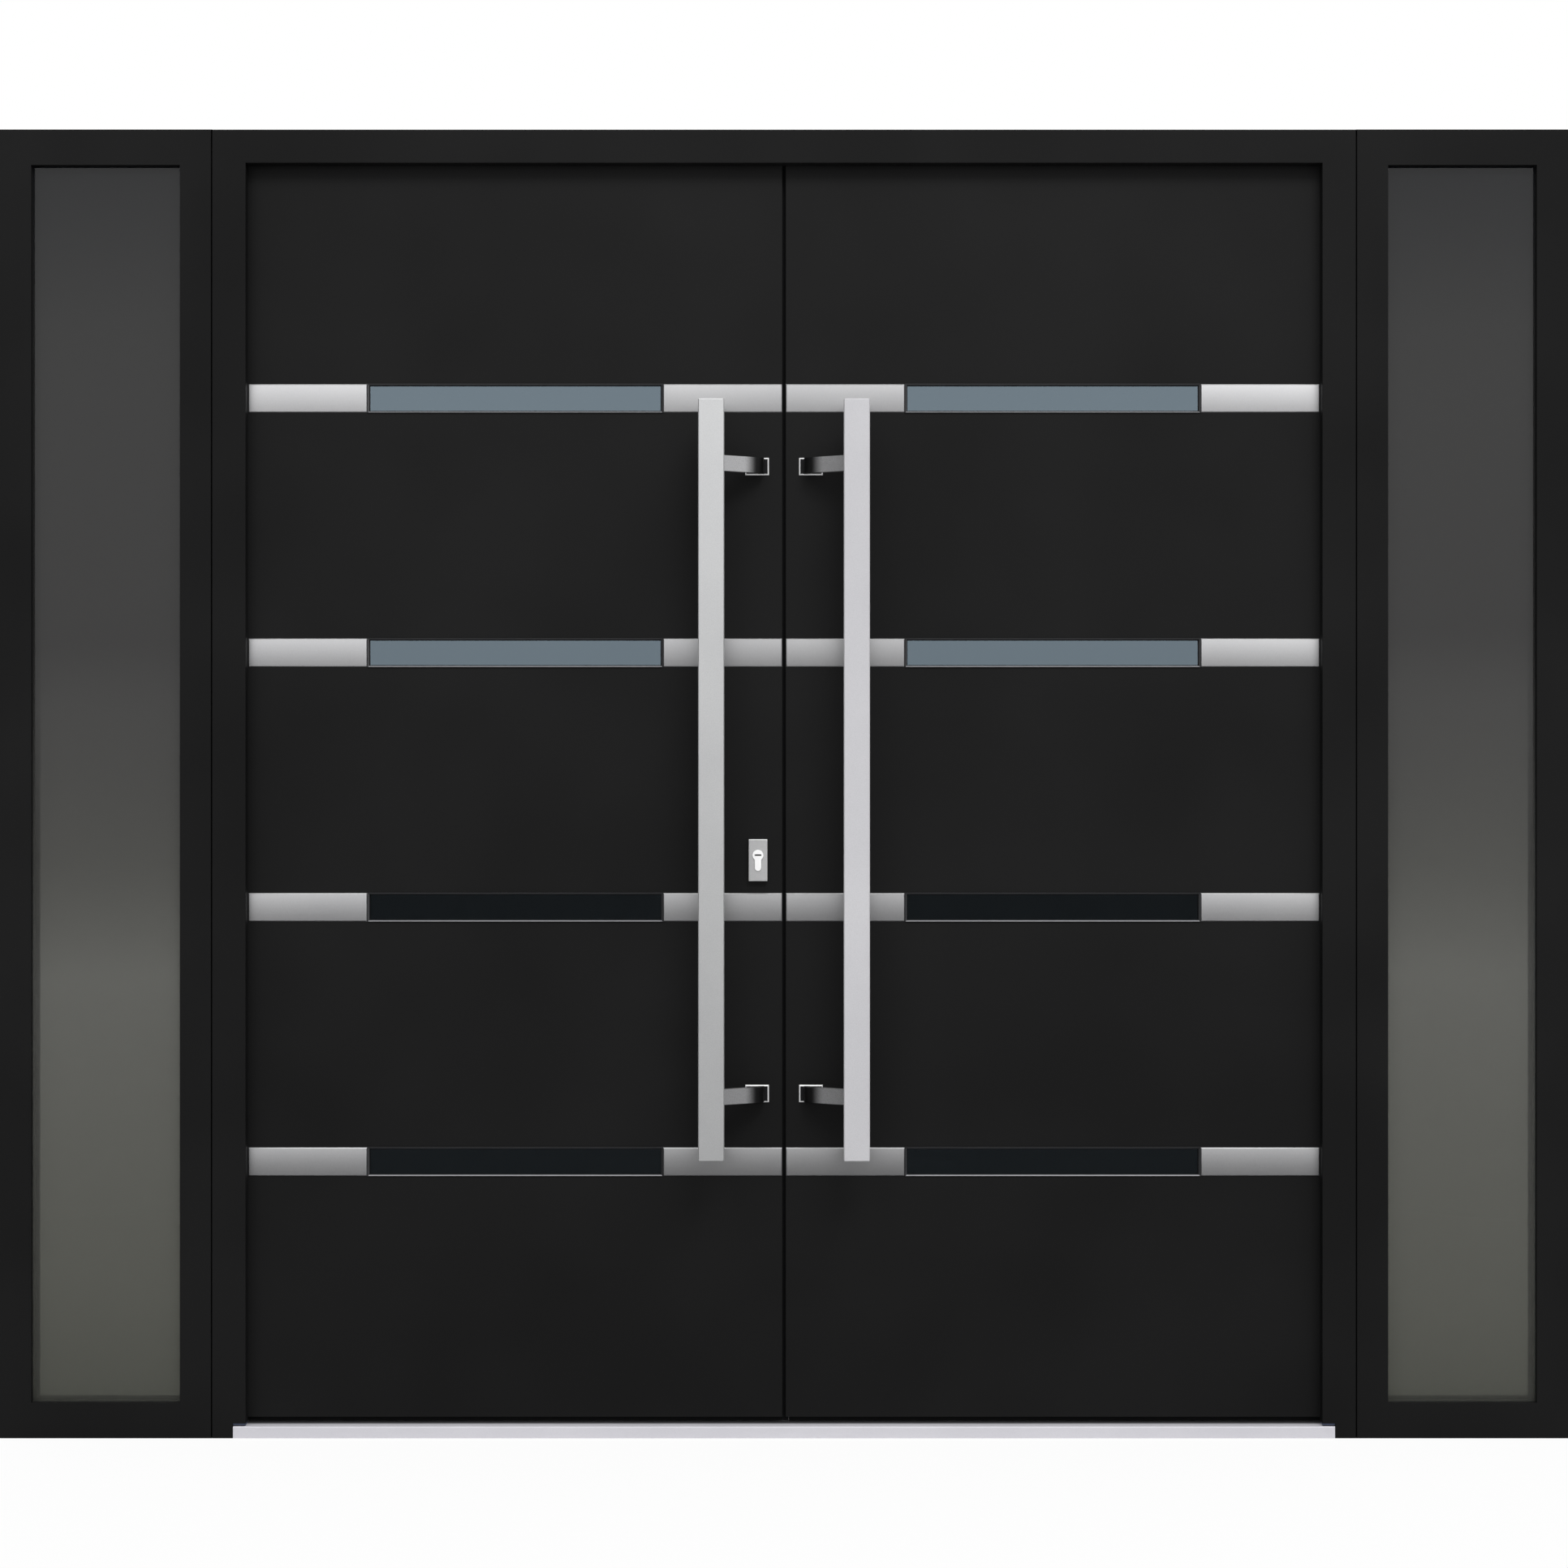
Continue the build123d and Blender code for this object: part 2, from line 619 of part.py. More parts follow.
def leaf_inlays(side):
    """The brushed steel strips that run on from each window to the leaf's edges, on both faces."""
    window_half = WINDOW_WIDTH / 2 + INLAY_END_GAP
    spans = {
        True: (LIP_REACH + INLAY_END_GAP, DOORWAY_REACH - INLAY_END_GAP),
        False: (MEETING_REACH + INLAY_END_GAP + SKIN, LEAF_REACH - INLAY_END_GAP - SKIN),
    }
    with BuildPart() as inlays:
        for outside, (meeting, hinge) in spans.items():
            plane = outward_plane(LEAF_OUTSIDE) if outside else inward_plane(LEAF_INSIDE)
            turn = 1 if outside else -1
            with BuildSketch(plane):
                for height in ROW_HEIGHTS:
                    low, high = height - INLAY_HEIGHT / 2, height + INLAY_HEIGHT / 2
                    across(turn * side * meeting, turn * side * (WINDOW_MIDDLE - window_half), low, high)
                    across(turn * side * (WINDOW_MIDDLE + window_half), turn * side * hinge, low, high)
            extrude(amount=INLAY_PROUD)
        chamfer(inlays.faces().group_by(Axis.Y)[0].edges(), INLAY_CHAMFER)
        chamfer(inlays.faces().group_by(Axis.Y)[-1].edges(), INLAY_CHAMFER)
    return inlays.part


def window_pane_depths():
    """The depths of the outer faces of a window's panes, from outside to inside."""
    step = WINDOW_PANE + WINDOW_PANE_SPACE
    return [LEAF_OUTSIDE + WINDOW_GLASS_DEPTH + pane * step for pane in range(WINDOW_PANES)]


def window_ring(side, depth, amount, border, outer_cut=0):
    """One ring per window, extruded outwards from the given depth."""
    with BuildSketch(outward_plane(depth)) as outline:
        with window_cells(side):
            Rectangle(WINDOW_WIDTH - 2 * outer_cut, WINDOW_HEIGHT - 2 * outer_cut)
            Rectangle(WINDOW_WIDTH - 2 * border, WINDOW_HEIGHT - 2 * border, mode=Mode.SUBTRACT)
    extrude(outline.sketch, amount=amount)


def leaf_window_frames(side):
    """The aluminium frames of a leaf's windows, outside and inside, and the spacers between their panes."""
    outer_pane, *other_panes = window_pane_depths()
    inner_rim = LEAF_INSIDE + INLAY_PROUD
    with BuildPart() as frames:
        window_ring(side, outer_pane, WINDOW_GLASS_DEPTH + INLAY_PROUD, WINDOW_BORDER)
        chamfer(window_rims(frames, 0), WINDOW_BEVEL)
        window_ring(side, inner_rim, inner_rim - other_panes[-1] - WINDOW_PANE, WINDOW_BORDER)
        chamfer(window_rims(frames, -1), WINDOW_BEVEL)
        for depth in other_panes:
            window_ring(side, depth, WINDOW_PANE_SPACE, WINDOW_BORDER, WINDOW_FIT)
    return frames.part


def window_rims(frames, end):
    """The inner edges of the window frames' outermost or innermost faces."""
    faces = frames.faces().filter_by(Axis.Y).group_by(Axis.Y)[end]
    return [edge for face in faces for wire in face.inner_wires() for edge in wire.edges()]


def leaf_glass(side):
    """The panes of the sealed units in a leaf's windows."""
    with BuildPart() as panes:
        for depth in window_pane_depths():
            with BuildSketch(outward_plane(depth + WINDOW_PANE)):
                with window_cells(side):
                    Rectangle(WINDOW_WIDTH - 2 * WINDOW_FIT, WINDOW_HEIGHT - 2 * WINDOW_FIT)
            extrude(amount=WINDOW_PANE)
    return panes.part


def foot_seal(side):
    """The rubber strip in the underside of a leaf that wipes the threshold."""
    low = THRESHOLD_HEIGHT + SEAL_CLEARANCE
    back = LEAF_OUTSIDE + FOOT_SEAL_SETBACK + FOOT_SEAL_THICKNESS
    with BuildPart() as seal:
        with BuildSketch(outward_plane(back)):
            across(side * MEETING_REACH, side * (LEAF_REACH - SKIN), low, LEAF_FOOT + FOOT_SEAL_ROOT)
        extrude(amount=FOOT_SEAL_THICKNESS)
    return seal.part


def meeting_seal():
    """The rubber flap on the left leaf that closes the line between the leaves, down to the threshold."""
    front = LIP_BACK + SEAL_CLEARANCE
    foot = THRESHOLD_HEIGHT + SEAL_CLEARANCE
    with BuildPart() as seal:
        with BuildSketch(outward_plane(front + MEETING_SEAL_THICKNESS)):
            across(-MEETING_REACH, MEETING_REACH - SEAL_CLEARANCE, foot, LEAF_TOP)
        extrude(amount=MEETING_SEAL_THICKNESS)
    return seal.part


# Hinges


def knuckle_outline(side, plate_side):
    """A hinge half in plan: a barrel, and a web that runs back to a plate on the frame or on the leaf."""
    barrel = (side * HINGE_AXIS_REACH, HINGE_AXIS_DEPTH)
    web_half = HINGE_WEB / 2
    plate_start = barrel[0] + plate_side * (HINGE_RADIUS + EDGE_GAP / 2 - web_half)
    plate_end = plate_start + plate_side * HINGE_PLATE_WIDTH
    with Locations(barrel):
        Circle(HINGE_RADIUS)
    with BuildLine() as web:
        Polyline(
            (barrel[0], HINGE_AXIS_DEPTH + web_half),
            (barrel[0], HINGE_AXIS_DEPTH - HINGE_RADIUS),
            (plate_start, LEAF_INSIDE),
            (plate_end, LEAF_INSIDE),
            (plate_end, LEAF_INSIDE + HINGE_PLATE),
            (plate_start + plate_side * HINGE_RADIUS, LEAF_INSIDE + HINGE_PLATE),
            close=True,
        )
    make_face(web.edges())


def hinge_half(side, plate_side, low, bore=0):
    """One half of a hinge, standing on the given height, bored for the pin if a radius is given."""
    with BuildSketch(Plane.XY.offset(low)) as outline:
        knuckle_outline(side, plate_side)
        if bore:
            with Locations((side * HINGE_AXIS_REACH, HINGE_AXIS_DEPTH)):
                Circle(bore, mode=Mode.SUBTRACT)
    extrude(outline.sketch, amount=KNUCKLE_LENGTH)


def hinge_frame_halves():
    """The lower half of each hinge, fixed to the frame, with the pin standing up from it."""
    with BuildPart() as halves:
        for side in (LEFT, RIGHT):
            for middle in HINGE_HEIGHTS:
                low = middle - KNUCKLE_LENGTH - KNUCKLE_SPACE / 2
                hinge_half(side, side, low)
                with BuildSketch(Plane.XY.offset(low + KNUCKLE_LENGTH)):
                    with Locations((side * HINGE_AXIS_REACH, HINGE_AXIS_DEPTH)):
                        Circle(HINGE_PIN_RADIUS)
                extrude(amount=KNUCKLE_LENGTH)
    return halves.part


def hinge_leaf_halves(side):
    """The upper half of each hinge, fixed to the leaf, which turns on the pin."""
    with BuildPart() as halves:
        for middle in HINGE_HEIGHTS:
            hinge_half(side, -side, middle + KNUCKLE_SPACE / 2, HINGE_PIN_RADIUS + HINGE_PIN_CLEARANCE)
    return halves.part


# Pull handles


def pull_bar(side):
    """The long square-edged bar of a pull handle."""
    with BuildPart() as bar:
        with BuildSketch(Plane.XY.offset(PULL_MIDDLE - PULL_LENGTH / 2)):
            with Locations((side * PULL_FROM_CENTRE, PULL_BACK - PULL_THICKNESS / 2)):
                Rectangle(PULL_WIDTH, PULL_THICKNESS)
        extrude(amount=PULL_LENGTH)
        chamfer(bar.edges(), PULL_CHAMFER)
    return bar.part


def pull_arms(side):
    """The two cranked arms of a pull bar: straight out from the leaf, then slanting across to the bar."""
    foot_depth = LEAF_OUTSIDE - FOOT_THICKNESS
    with BuildPart() as arms:
        for height in ARM_HEIGHTS:
            with BuildSketch(Plane.XY.offset(height - ARM_HEIGHT / 2)):
                with BuildLine():
                    FilletPolyline(
                        (side * ARM_FROM_CENTRE, LEAF_OUTSIDE),
                        (side * ARM_FROM_CENTRE, foot_depth - ARM_STRAIGHT),
                        (side * PULL_FROM_CENTRE, PULL_BACK - ARM_THICKNESS / 2),
                        radius=ARM_BEND_RADIUS,
                    )
                trace(line_width=ARM_THICKNESS)
                with Locations((side * PULL_FROM_CENTRE / 2, (foot_depth + PULL_BACK) / 2)):
                    Rectangle(2 * PULL_FROM_CENTRE, foot_depth - PULL_BACK, mode=Mode.INTERSECT)
            extrude(amount=ARM_HEIGHT)
    return arms.part


def pull_feet(side):
    """The flat plates that the arms of a pull handle stand on."""
    with BuildPart() as feet:
        with BuildSketch(outward_plane(LEAF_OUTSIDE)):
            with Locations(*[(side * FOOT_FROM_CENTRE, height) for height in ARM_HEIGHTS]):
                Rectangle(FOOT_WIDTH, FOOT_HEIGHT)
        extrude(amount=FOOT_THICKNESS)
        chamfer(feet.faces().group_by(Axis.Y)[0].edges(), FOOT_CHAMFER)
    return feet.part


# Lock


def lock_cylinder():
    """The profile cylinder through the left leaf, with a keyway in each end."""
    outer_end = LEAF_OUTSIDE - ESCUTCHEON_THICKNESS - CYLINDER_PROUD
    inner_end = LEAF_INSIDE + ESCUTCHEON_THICKNESS + CYLINDER_PROUD
    with BuildPart() as cylinder:
        with BuildSketch(outward_plane(inner_end)):
            cylinder_outline(LEFT)
        extrude(amount=inner_end - outer_end)
        for depth in (outer_end + KEYWAY_DEPTH, inner_end):
            with BuildSketch(outward_plane(depth)):
                with Locations((LEFT * CYLINDER_REACH, CYLINDER_HEIGHT)):
                    SlotOverall(KEYWAY_WIDTH, KEYWAY_HEIGHT)
            extrude(amount=KEYWAY_DEPTH, mode=Mode.SUBTRACT)
    return cylinder.part


def escutcheons():
    """The plates round the two ends of the lock cylinder."""
    middle = CYLINDER_HEIGHT + CYLINDER_RADIUS - CYLINDER_TOTAL / 2
    with BuildPart() as plates:
        for depth in (LEAF_OUTSIDE, LEAF_INSIDE + ESCUTCHEON_THICKNESS):
            with BuildSketch(outward_plane(depth)):
                with Locations((LEFT * CYLINDER_REACH, middle)):
                    Rectangle(ESCUTCHEON_WIDTH, ESCUTCHEON_HEIGHT)
            extrude(amount=ESCUTCHEON_THICKNESS)
        chamfer(plates.faces().group_by(Axis.Y)[0].edges(), ESCUTCHEON_CHAMFER)
        chamfer(plates.faces().group_by(Axis.Y)[-1].edges(), ESCUTCHEON_CHAMFER)
        with BuildSketch(outward_plane(LEAF_INSIDE + ESCUTCHEON_THICKNESS)):
            cylinder_outline(LEFT, CYLINDER_FIT)
        extrude(amount=LEAF_THICKNESS + 2 * ESCUTCHEON_THICKNESS, mode=Mode.SUBTRACT)
    return plates.part


def inside_lever():
    """The lever handle inside the left leaf, on a square rose."""
    reach = LEFT * CYLINDER_REACH
    with BuildPart() as lever:
        with BuildSketch(inward_plane(LEAF_INSIDE)):
            with Locations((-reach, LEVER_HEIGHT)):
                Rectangle(ROSE_SIZE, ROSE_SIZE)
        extrude(amount=ROSE_THICKNESS)
        chamfer(lever.faces().sort_by(Axis.Y)[-1].edges(), ESCUTCHEON_CHAMFER)
        with BuildLine(Plane.XY.offset(LEVER_HEIGHT)) as path:
            FilletPolyline(
                (reach, LEAF_INSIDE + ROSE_THICKNESS / 2),
                (reach, LEAF_INSIDE + LEVER_REACH),
                (reach - LEVER_LENGTH, LEAF_INSIDE + LEVER_REACH),
                radius=LEVER_BEND_RADIUS,
            )
        with BuildSketch(Plane(origin=path.line @ 0, x_dir=(1, 0, 0), z_dir=path.line % 0)) as section:
            Rectangle(LEVER_THICKNESS, LEVER_SIZE)
            chamfer(section.vertices(), LEVER_CHAMFER)
        sweep(path=path.line)
    return lever.part


def bolt_outlines(grow=0, mode=Mode.ADD):
    """The outlines of the bolts in a sketch on a meeting edge, grown by a clearance."""
    with Locations(*[(EDGE_MIDDLE, height) for height in BOLT_HEIGHTS]):
        Rectangle(BOLT_WIDTH + 2 * grow, BOLT_HEIGHT + 2 * grow, mode=mode)


def edge_plane(side):
    """The plane of a leaf's set-back meeting edge. Its own X is Y, its own Y is Z, and it extrudes to +X."""
    return Plane.YZ.offset(side * MEETING_REACH)


def edge_rail(side):
    """The long plate in a leaf's meeting edge: the lock's face on the left leaf, the strike on the right."""
    with BuildPart() as rail:
        with BuildSketch(edge_plane(side)):
            with Locations((EDGE_MIDDLE, (LOCK_RAIL_LOW + LOCK_RAIL_HIGH) / 2)):
                Rectangle(LOCK_RAIL_WIDTH, LOCK_RAIL_HIGH - LOCK_RAIL_LOW)
            bolt_outlines(BOLT_FIT, Mode.SUBTRACT)
        extrude(amount=side * LOCK_RAIL_THICKNESS)
    return rail.part


def lock_bolts():
    """The latch and the bolts of the left leaf, drawn back level with the lock's face."""
    with BuildPart() as bolts:
        with BuildSketch(edge_plane(LEFT)):
            bolt_outlines()
        extrude(amount=LEFT * BOLT_DEPTH)
    return bolts.part


def flush_bolt_spans():
    """The heights that the two flush bolts of the right leaf take up on its meeting edge."""
    low, high = LEAF_FOOT + FLUSH_BOLT_END, LEAF_TOP - FLUSH_BOLT_END
    return ((low, low + FLUSH_BOLT_LENGTH), (high - FLUSH_BOLT_LENGTH, high))


def flush_bolts():
    """The plates of the flush bolts at the head and foot of the right leaf, each with a lever in a slot."""
    with BuildPart() as plates:
        for low, high in flush_bolt_spans():
            with BuildSketch(edge_plane(RIGHT)):
                with Locations((EDGE_MIDDLE, (low + high) / 2)):
                    Rectangle(LOCK_RAIL_WIDTH, high - low)
            extrude(amount=LOCK_RAIL_THICKNESS)
            with BuildSketch(edge_plane(RIGHT)):
                with Locations((EDGE_MIDDLE, (low + high) / 2)):
                    SlotOverall(FLUSH_SLOT_LENGTH, FLUSH_SLOT_WIDTH, rotation=90)
                    SlotOverall(FLUSH_LEVER_LENGTH, FLUSH_LEVER_WIDTH, rotation=90, mode=Mode.SUBTRACT)
            extrude(amount=FLUSH_SLOT_DEPTH, mode=Mode.SUBTRACT)
    return plates.part


os.makedirs("parts", exist_ok=True)

save(door_jamb(LEFT), "left_jamb")
save(door_jamb(RIGHT), "right_jamb")
save(door_head(), "head")
save(frame_seal(), "frame_seal")
save(threshold(), "threshold")
save(threshold_end_blocks(), "threshold_end_blocks")
save(hinge_frame_halves(), "frame_hinge_halves")
save(sidelight_glass(), "sidelight_glass")
save(sidelight_spacers(), "sidelight_spacers")
save(sidelight_gaskets(), "sidelight_gaskets")
save(sidelight_beads(), "sidelight_beads")

for side, word in ((LEFT, "left"), (RIGHT, "right")):
    save(both(sidelight_stile, side), f"{word}_sidelight_stiles")
    save(both(sidelight_rail, side), f"{word}_sidelight_rails")
    save(leaf_core(side), f"{word}_leaf_core")
    save(leaf_skin(side, True), f"{word}_leaf_outer_skin")
    save(leaf_skin(side, False), f"{word}_leaf_inner_skin")
    save(leaf_inlays(side), f"{word}_leaf_inlays")
    save(leaf_window_frames(side), f"{word}_leaf_window_frames")
    save(leaf_glass(side), f"{word}_leaf_glass")
    save(foot_seal(side), f"{word}_leaf_foot_seal")
    save(hinge_leaf_halves(side), f"{word}_leaf_hinge_halves")
    save(pull_bar(side), f"{word}_pull_bar")
    save(pull_arms(side), f"{word}_pull_arms")
    save(pull_feet(side), f"{word}_pull_feet")

save(meeting_seal(), "left_leaf_meeting_seal")
save(lock_cylinder(), "left_leaf_lock_cylinder")
save(escutcheons(), "left_leaf_escutcheons")
save(inside_lever(), "left_leaf_lever")
save(edge_rail(LEFT), "left_leaf_lock_rail")
save(lock_bolts(), "left_leaf_bolts")
save(edge_rail(RIGHT), "right_leaf_strike_rail")
save(flush_bolts(), "right_leaf_flush_bolts")
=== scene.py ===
import json
import math

import bmesh
import bpy
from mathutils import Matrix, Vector


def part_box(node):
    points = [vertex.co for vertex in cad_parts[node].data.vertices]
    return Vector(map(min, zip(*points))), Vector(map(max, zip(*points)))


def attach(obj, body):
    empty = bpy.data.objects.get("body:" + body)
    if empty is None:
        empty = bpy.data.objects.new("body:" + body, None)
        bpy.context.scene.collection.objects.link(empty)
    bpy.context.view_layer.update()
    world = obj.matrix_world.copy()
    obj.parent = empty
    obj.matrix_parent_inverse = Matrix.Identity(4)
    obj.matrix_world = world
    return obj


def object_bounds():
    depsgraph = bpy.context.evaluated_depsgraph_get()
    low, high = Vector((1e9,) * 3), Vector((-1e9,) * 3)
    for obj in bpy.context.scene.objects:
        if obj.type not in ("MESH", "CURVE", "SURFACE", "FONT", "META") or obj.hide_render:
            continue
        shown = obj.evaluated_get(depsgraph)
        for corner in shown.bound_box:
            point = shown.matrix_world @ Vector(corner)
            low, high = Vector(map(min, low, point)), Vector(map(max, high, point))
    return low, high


# The finish of a double entry door: dark powder-coated metal, blasted steel strips and pull bars, an
# aluminium threshold and tinted glass. Lengths are in metres.

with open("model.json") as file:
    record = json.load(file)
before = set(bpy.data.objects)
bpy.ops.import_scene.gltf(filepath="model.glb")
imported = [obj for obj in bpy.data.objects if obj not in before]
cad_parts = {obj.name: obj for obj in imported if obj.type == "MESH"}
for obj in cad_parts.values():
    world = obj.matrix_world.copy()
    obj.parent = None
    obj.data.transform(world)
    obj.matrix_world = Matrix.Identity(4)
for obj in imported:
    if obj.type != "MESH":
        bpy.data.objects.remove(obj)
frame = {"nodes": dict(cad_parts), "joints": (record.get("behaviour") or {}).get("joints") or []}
cad_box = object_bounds()

MM = 0.001
LEFT, RIGHT = -1, 1
LEAVES = ((LEFT, "left"), (RIGHT, "right"))

# Rows of strips and windows
ROW_COUNT = 4
ROW_SPACING = 397 * MM
ROWS_MIDDLE = 1022 * MM
ROW_HEIGHTS = [ROWS_MIDDLE + (row - (ROW_COUNT - 1) / 2) * ROW_SPACING for row in range(ROW_COUNT)]


# Node graphs

WHITE = (1.0, 1.0, 1.0)
# Most of a noise texture lies between these levels
NOISE_LOW, NOISE_HIGH = 0.3, 0.7


def shade(colour, factor):
    return tuple(channel * factor for channel in colour)


class Graph:
    """A node tree under construction: makes nodes and links them by socket name."""

    def __init__(self, tree):
        self.tree = tree
        self.tree.nodes.clear()

    def add(self, kind, **settings):
        node = self.tree.nodes.new(kind)
        for key, value in settings.items():
            setattr(node, key, value)
        return node

    def link(self, source, output, target, socket):
        self.tree.links.new(source.outputs[output], target.inputs[socket])

    def fill(self, node, **values):
        """Sets sockets by name, with an underscore for each space of the name."""
        for key, value in values.items():
            node.inputs[key.replace("_", " ")].default_value = value

    def split(self, source, output):
        """The three numbers of a vector."""
        parts = self.add("ShaderNodeSeparateXYZ")
        self.link(source, output, parts, "Vector")
        return parts

    def maths(self, operation, *values):
        """A Math node, where each value is a number or a (node, output) pair."""
        node = self.add("ShaderNodeMath", operation=operation)
        for socket, value in enumerate(values):
            if isinstance(value, tuple):
                self.link(*value, node, socket)
            else:
                node.inputs[socket].default_value = value
        return node

    def ramp(self, source, output, stops):
        """A colour that follows the source through (place, colour) stops."""
        ramp = self.add("ShaderNodeValToRGB")
        points = ramp.color_ramp.elements
        while len(points) < len(stops):
            points.new(0.5)
        for point, (place, colour) in zip(points, stops):
            point.position = place
            point.color = (*colour, 1)
        self.link(source, output, ramp, "Fac")
        return ramp

    def levels(self, source, output, low, high, start=NOISE_LOW, end=NOISE_HIGH):
        """A number that goes from low to high as the source goes from start to end."""
        levels = self.add("ShaderNodeMapRange")
        self.fill(levels, From_Min=start, From_Max=end, To_Min=low, To_Max=high)
        self.link(source, output, levels, "Value")
        return levels

    def background_rays(self):
        """1 for rays that come from the camera or through glass, and 0 for the others."""
        path = self.add("ShaderNodeLightPath")
        return self.maths("MAXIMUM", (path, "Is Camera Ray"), (path, "Is Transmission Ray"))

    def mixed_shader(self, share, share_output, first, second):
        """The first shader where the share is 0, and the second where it is 1."""
        mix = self.add("ShaderNodeMixShader")
        self.link(share, share_output, mix, "Fac")
        self.link(first, 0, mix, 1)
        self.link(second, 0, mix, 2)
        return mix


class Material(Graph):
    """A material under construction, with one Principled shader."""

    def __init__(self, name):
        self.material = bpy.data.materials.new(name)
        self.material.use_nodes = True
        super().__init__(self.material.node_tree)
        self.output = self.add("ShaderNodeOutputMaterial")
        self.shader = self.add("ShaderNodeBsdfPrincipled")
        self.place = self.add("ShaderNodeTexCoord")
        self.link(self.shader, "BSDF", self.output, "Surface")

    def set(self, **values):
        self.fill(self.shader, **values)

    def noise(self, scale, detail, stretch=(1, 1, 1), roughness=0.5):
        """A noise texture that stays on the object, with its scale times the stretch on each axis."""
        mapping = self.add("ShaderNodeMapping")
        self.fill(mapping, Scale=stretch)
        self.link(self.place, "Object", mapping, "Vector")
        noise = self.add("ShaderNodeTexNoise")
        self.fill(noise, Scale=scale, Detail=detail, Roughness=roughness)
        self.link(mapping, "Vector", noise, "Vector")
        return noise

    def tones(self, source, colour, dark, light, start=NOISE_LOW, end=NOISE_HIGH):
        """The colour times a factor that goes from dark to light with the source."""
        return self.ramp(source, "Fac", [(start, shade(colour, dark)), (end, shade(colour, light))])

    def multiplied(self, first, first_output, second, second_output):
        mix = self.add("ShaderNodeMix", data_type="RGBA", blend_type="MULTIPLY")
        self.fill(mix, Factor=1.0)
        self.link(first, first_output, mix, "A")
        self.link(second, second_output, mix, "B")
        return mix

    def with_painted_shade(self, source, output, axis, place, dark, clean, least):
        """The source's colour with painted shade, darker near a place on an axis.

        It is least times as light up to the distance dark, and as it was from the distance clean on.
        """
        signed = self.maths("SUBTRACT", (self.split(self.place, "Object"), axis), place)
        distance = self.maths("ABSOLUTE", (signed, "Value"))
        share = self.levels(distance, "Value", 0.0, 1.0, dark, clean)
        share.interpolation_type = "SMOOTHSTEP"
        shadow = self.ramp(share, "Result", [(0.0, shade(WHITE, least)), (1.0, WHITE)])
        return self.multiplied(shadow, "Color", source, output)

    def coat(self, source, output="Color"):
        self.link(source, output, self.shader, "Base Color")

    def gloss(self, source, low, high):
        """A roughness that goes from low to high with the source."""
        self.link(self.levels(source, "Fac", low, high), "Result", self.shader, "Roughness")

    def bump(self, source, output, depth, strength, under=None):
        bump = self.add("ShaderNodeBump")
        self.fill(bump, Distance=depth, Strength=strength)
        self.link(source, output, bump, "Height")
        if under:
            self.link(under, "Normal", bump, "Normal")
        self.link(bump, "Normal", self.shader, "Normal")
        return bump

    def crowned(self, under, first, spacing, radius):
        """A bump that makes the strip of every row slightly full, as if cut from a wide cylinder."""
        height = self.split(self.place, "Object")
        row = self.maths("WRAP", (height, "Z"), first + spacing / 2, first - spacing / 2)
        offset = self.maths("SUBTRACT", (row, "Value"), first)
        square = self.maths("MULTIPLY", (offset, "Value"), (offset, "Value"))
        return self.bump(square, "Value", depth=-1 / (2 * radius), strength=1.0, under=under)


# Kinds of finish


def powder_coat(name, colour, specular):
    """Matt powder coat: a fine grain, and a soft change of tone over a hand's breadth."""
    n = Material(name)
    n.set(Specular_IOR_Level=specular)
    cloud = n.noise(scale=3.0, detail=2.0)
    grain = n.noise(scale=900.0, detail=2.0)
    n.coat(n.tones(cloud, colour, dark=0.88, light=1.12, start=0.35, end=0.65))
    n.gloss(grain, low=0.44, high=0.56)
    n.bump(grain, "Fac", depth=0.04 * MM, strength=0.35)
    return n.material


def blasted_metal(name, colour, roughness, contrast=0.10, metallic=1.0, drawn=None, fade=None, crown=None):
    """Bead-blasted metal: a fine even sparkle, with faint lines along the length if it was drawn.

    Drawn is the stretch of those lines. Painted shade and crown hold the values of the with_painted_shade and
    crowned methods.
    """
    n = Material(name)
    n.set(Metallic=metallic)
    grain = n.noise(scale=850.0, detail=3.0, roughness=0.7)
    cloud = n.noise(scale=7.0, detail=2.0)
    fine = n.tones(grain, colour, dark=1 - contrast, light=1 + 0.4 * contrast)
    broad = n.ramp(cloud, "Fac", [(0.35, (0.955, 0.955, 0.96)), (0.65, WHITE)])
    surface = n.multiplied(fine, "Color", broad, "Color")
    if fade:
        surface = n.with_painted_shade(surface, "Result", **fade)
    n.coat(surface, "Result")
    n.gloss(grain, roughness - 0.05, roughness + 0.05)
    bump = n.bump(grain, "Fac", depth=0.02 * MM, strength=0.35)
    if crown:
        bump = n.crowned(bump, **crown)
    if drawn:
        lines = n.noise(scale=1.0, detail=4.0, stretch=drawn)
        n.bump(lines, "Fac", depth=0.02 * MM, strength=0.25, under=bump)
    return n.material


def plated_metal(name, colour, roughness, metallic=1.0):
    """Plated metal, with faint wipe marks in its gloss."""
    n = Material(name)
    n.set(Metallic=metallic)
    marks = n.noise(scale=60.0, detail=4.0, stretch=(1, 1, 4))
    n.coat(n.tones(marks, colour, dark=0.96, light=1.0))
    n.gloss(marks, roughness - 0.03, roughness + 0.05)
    return n.material


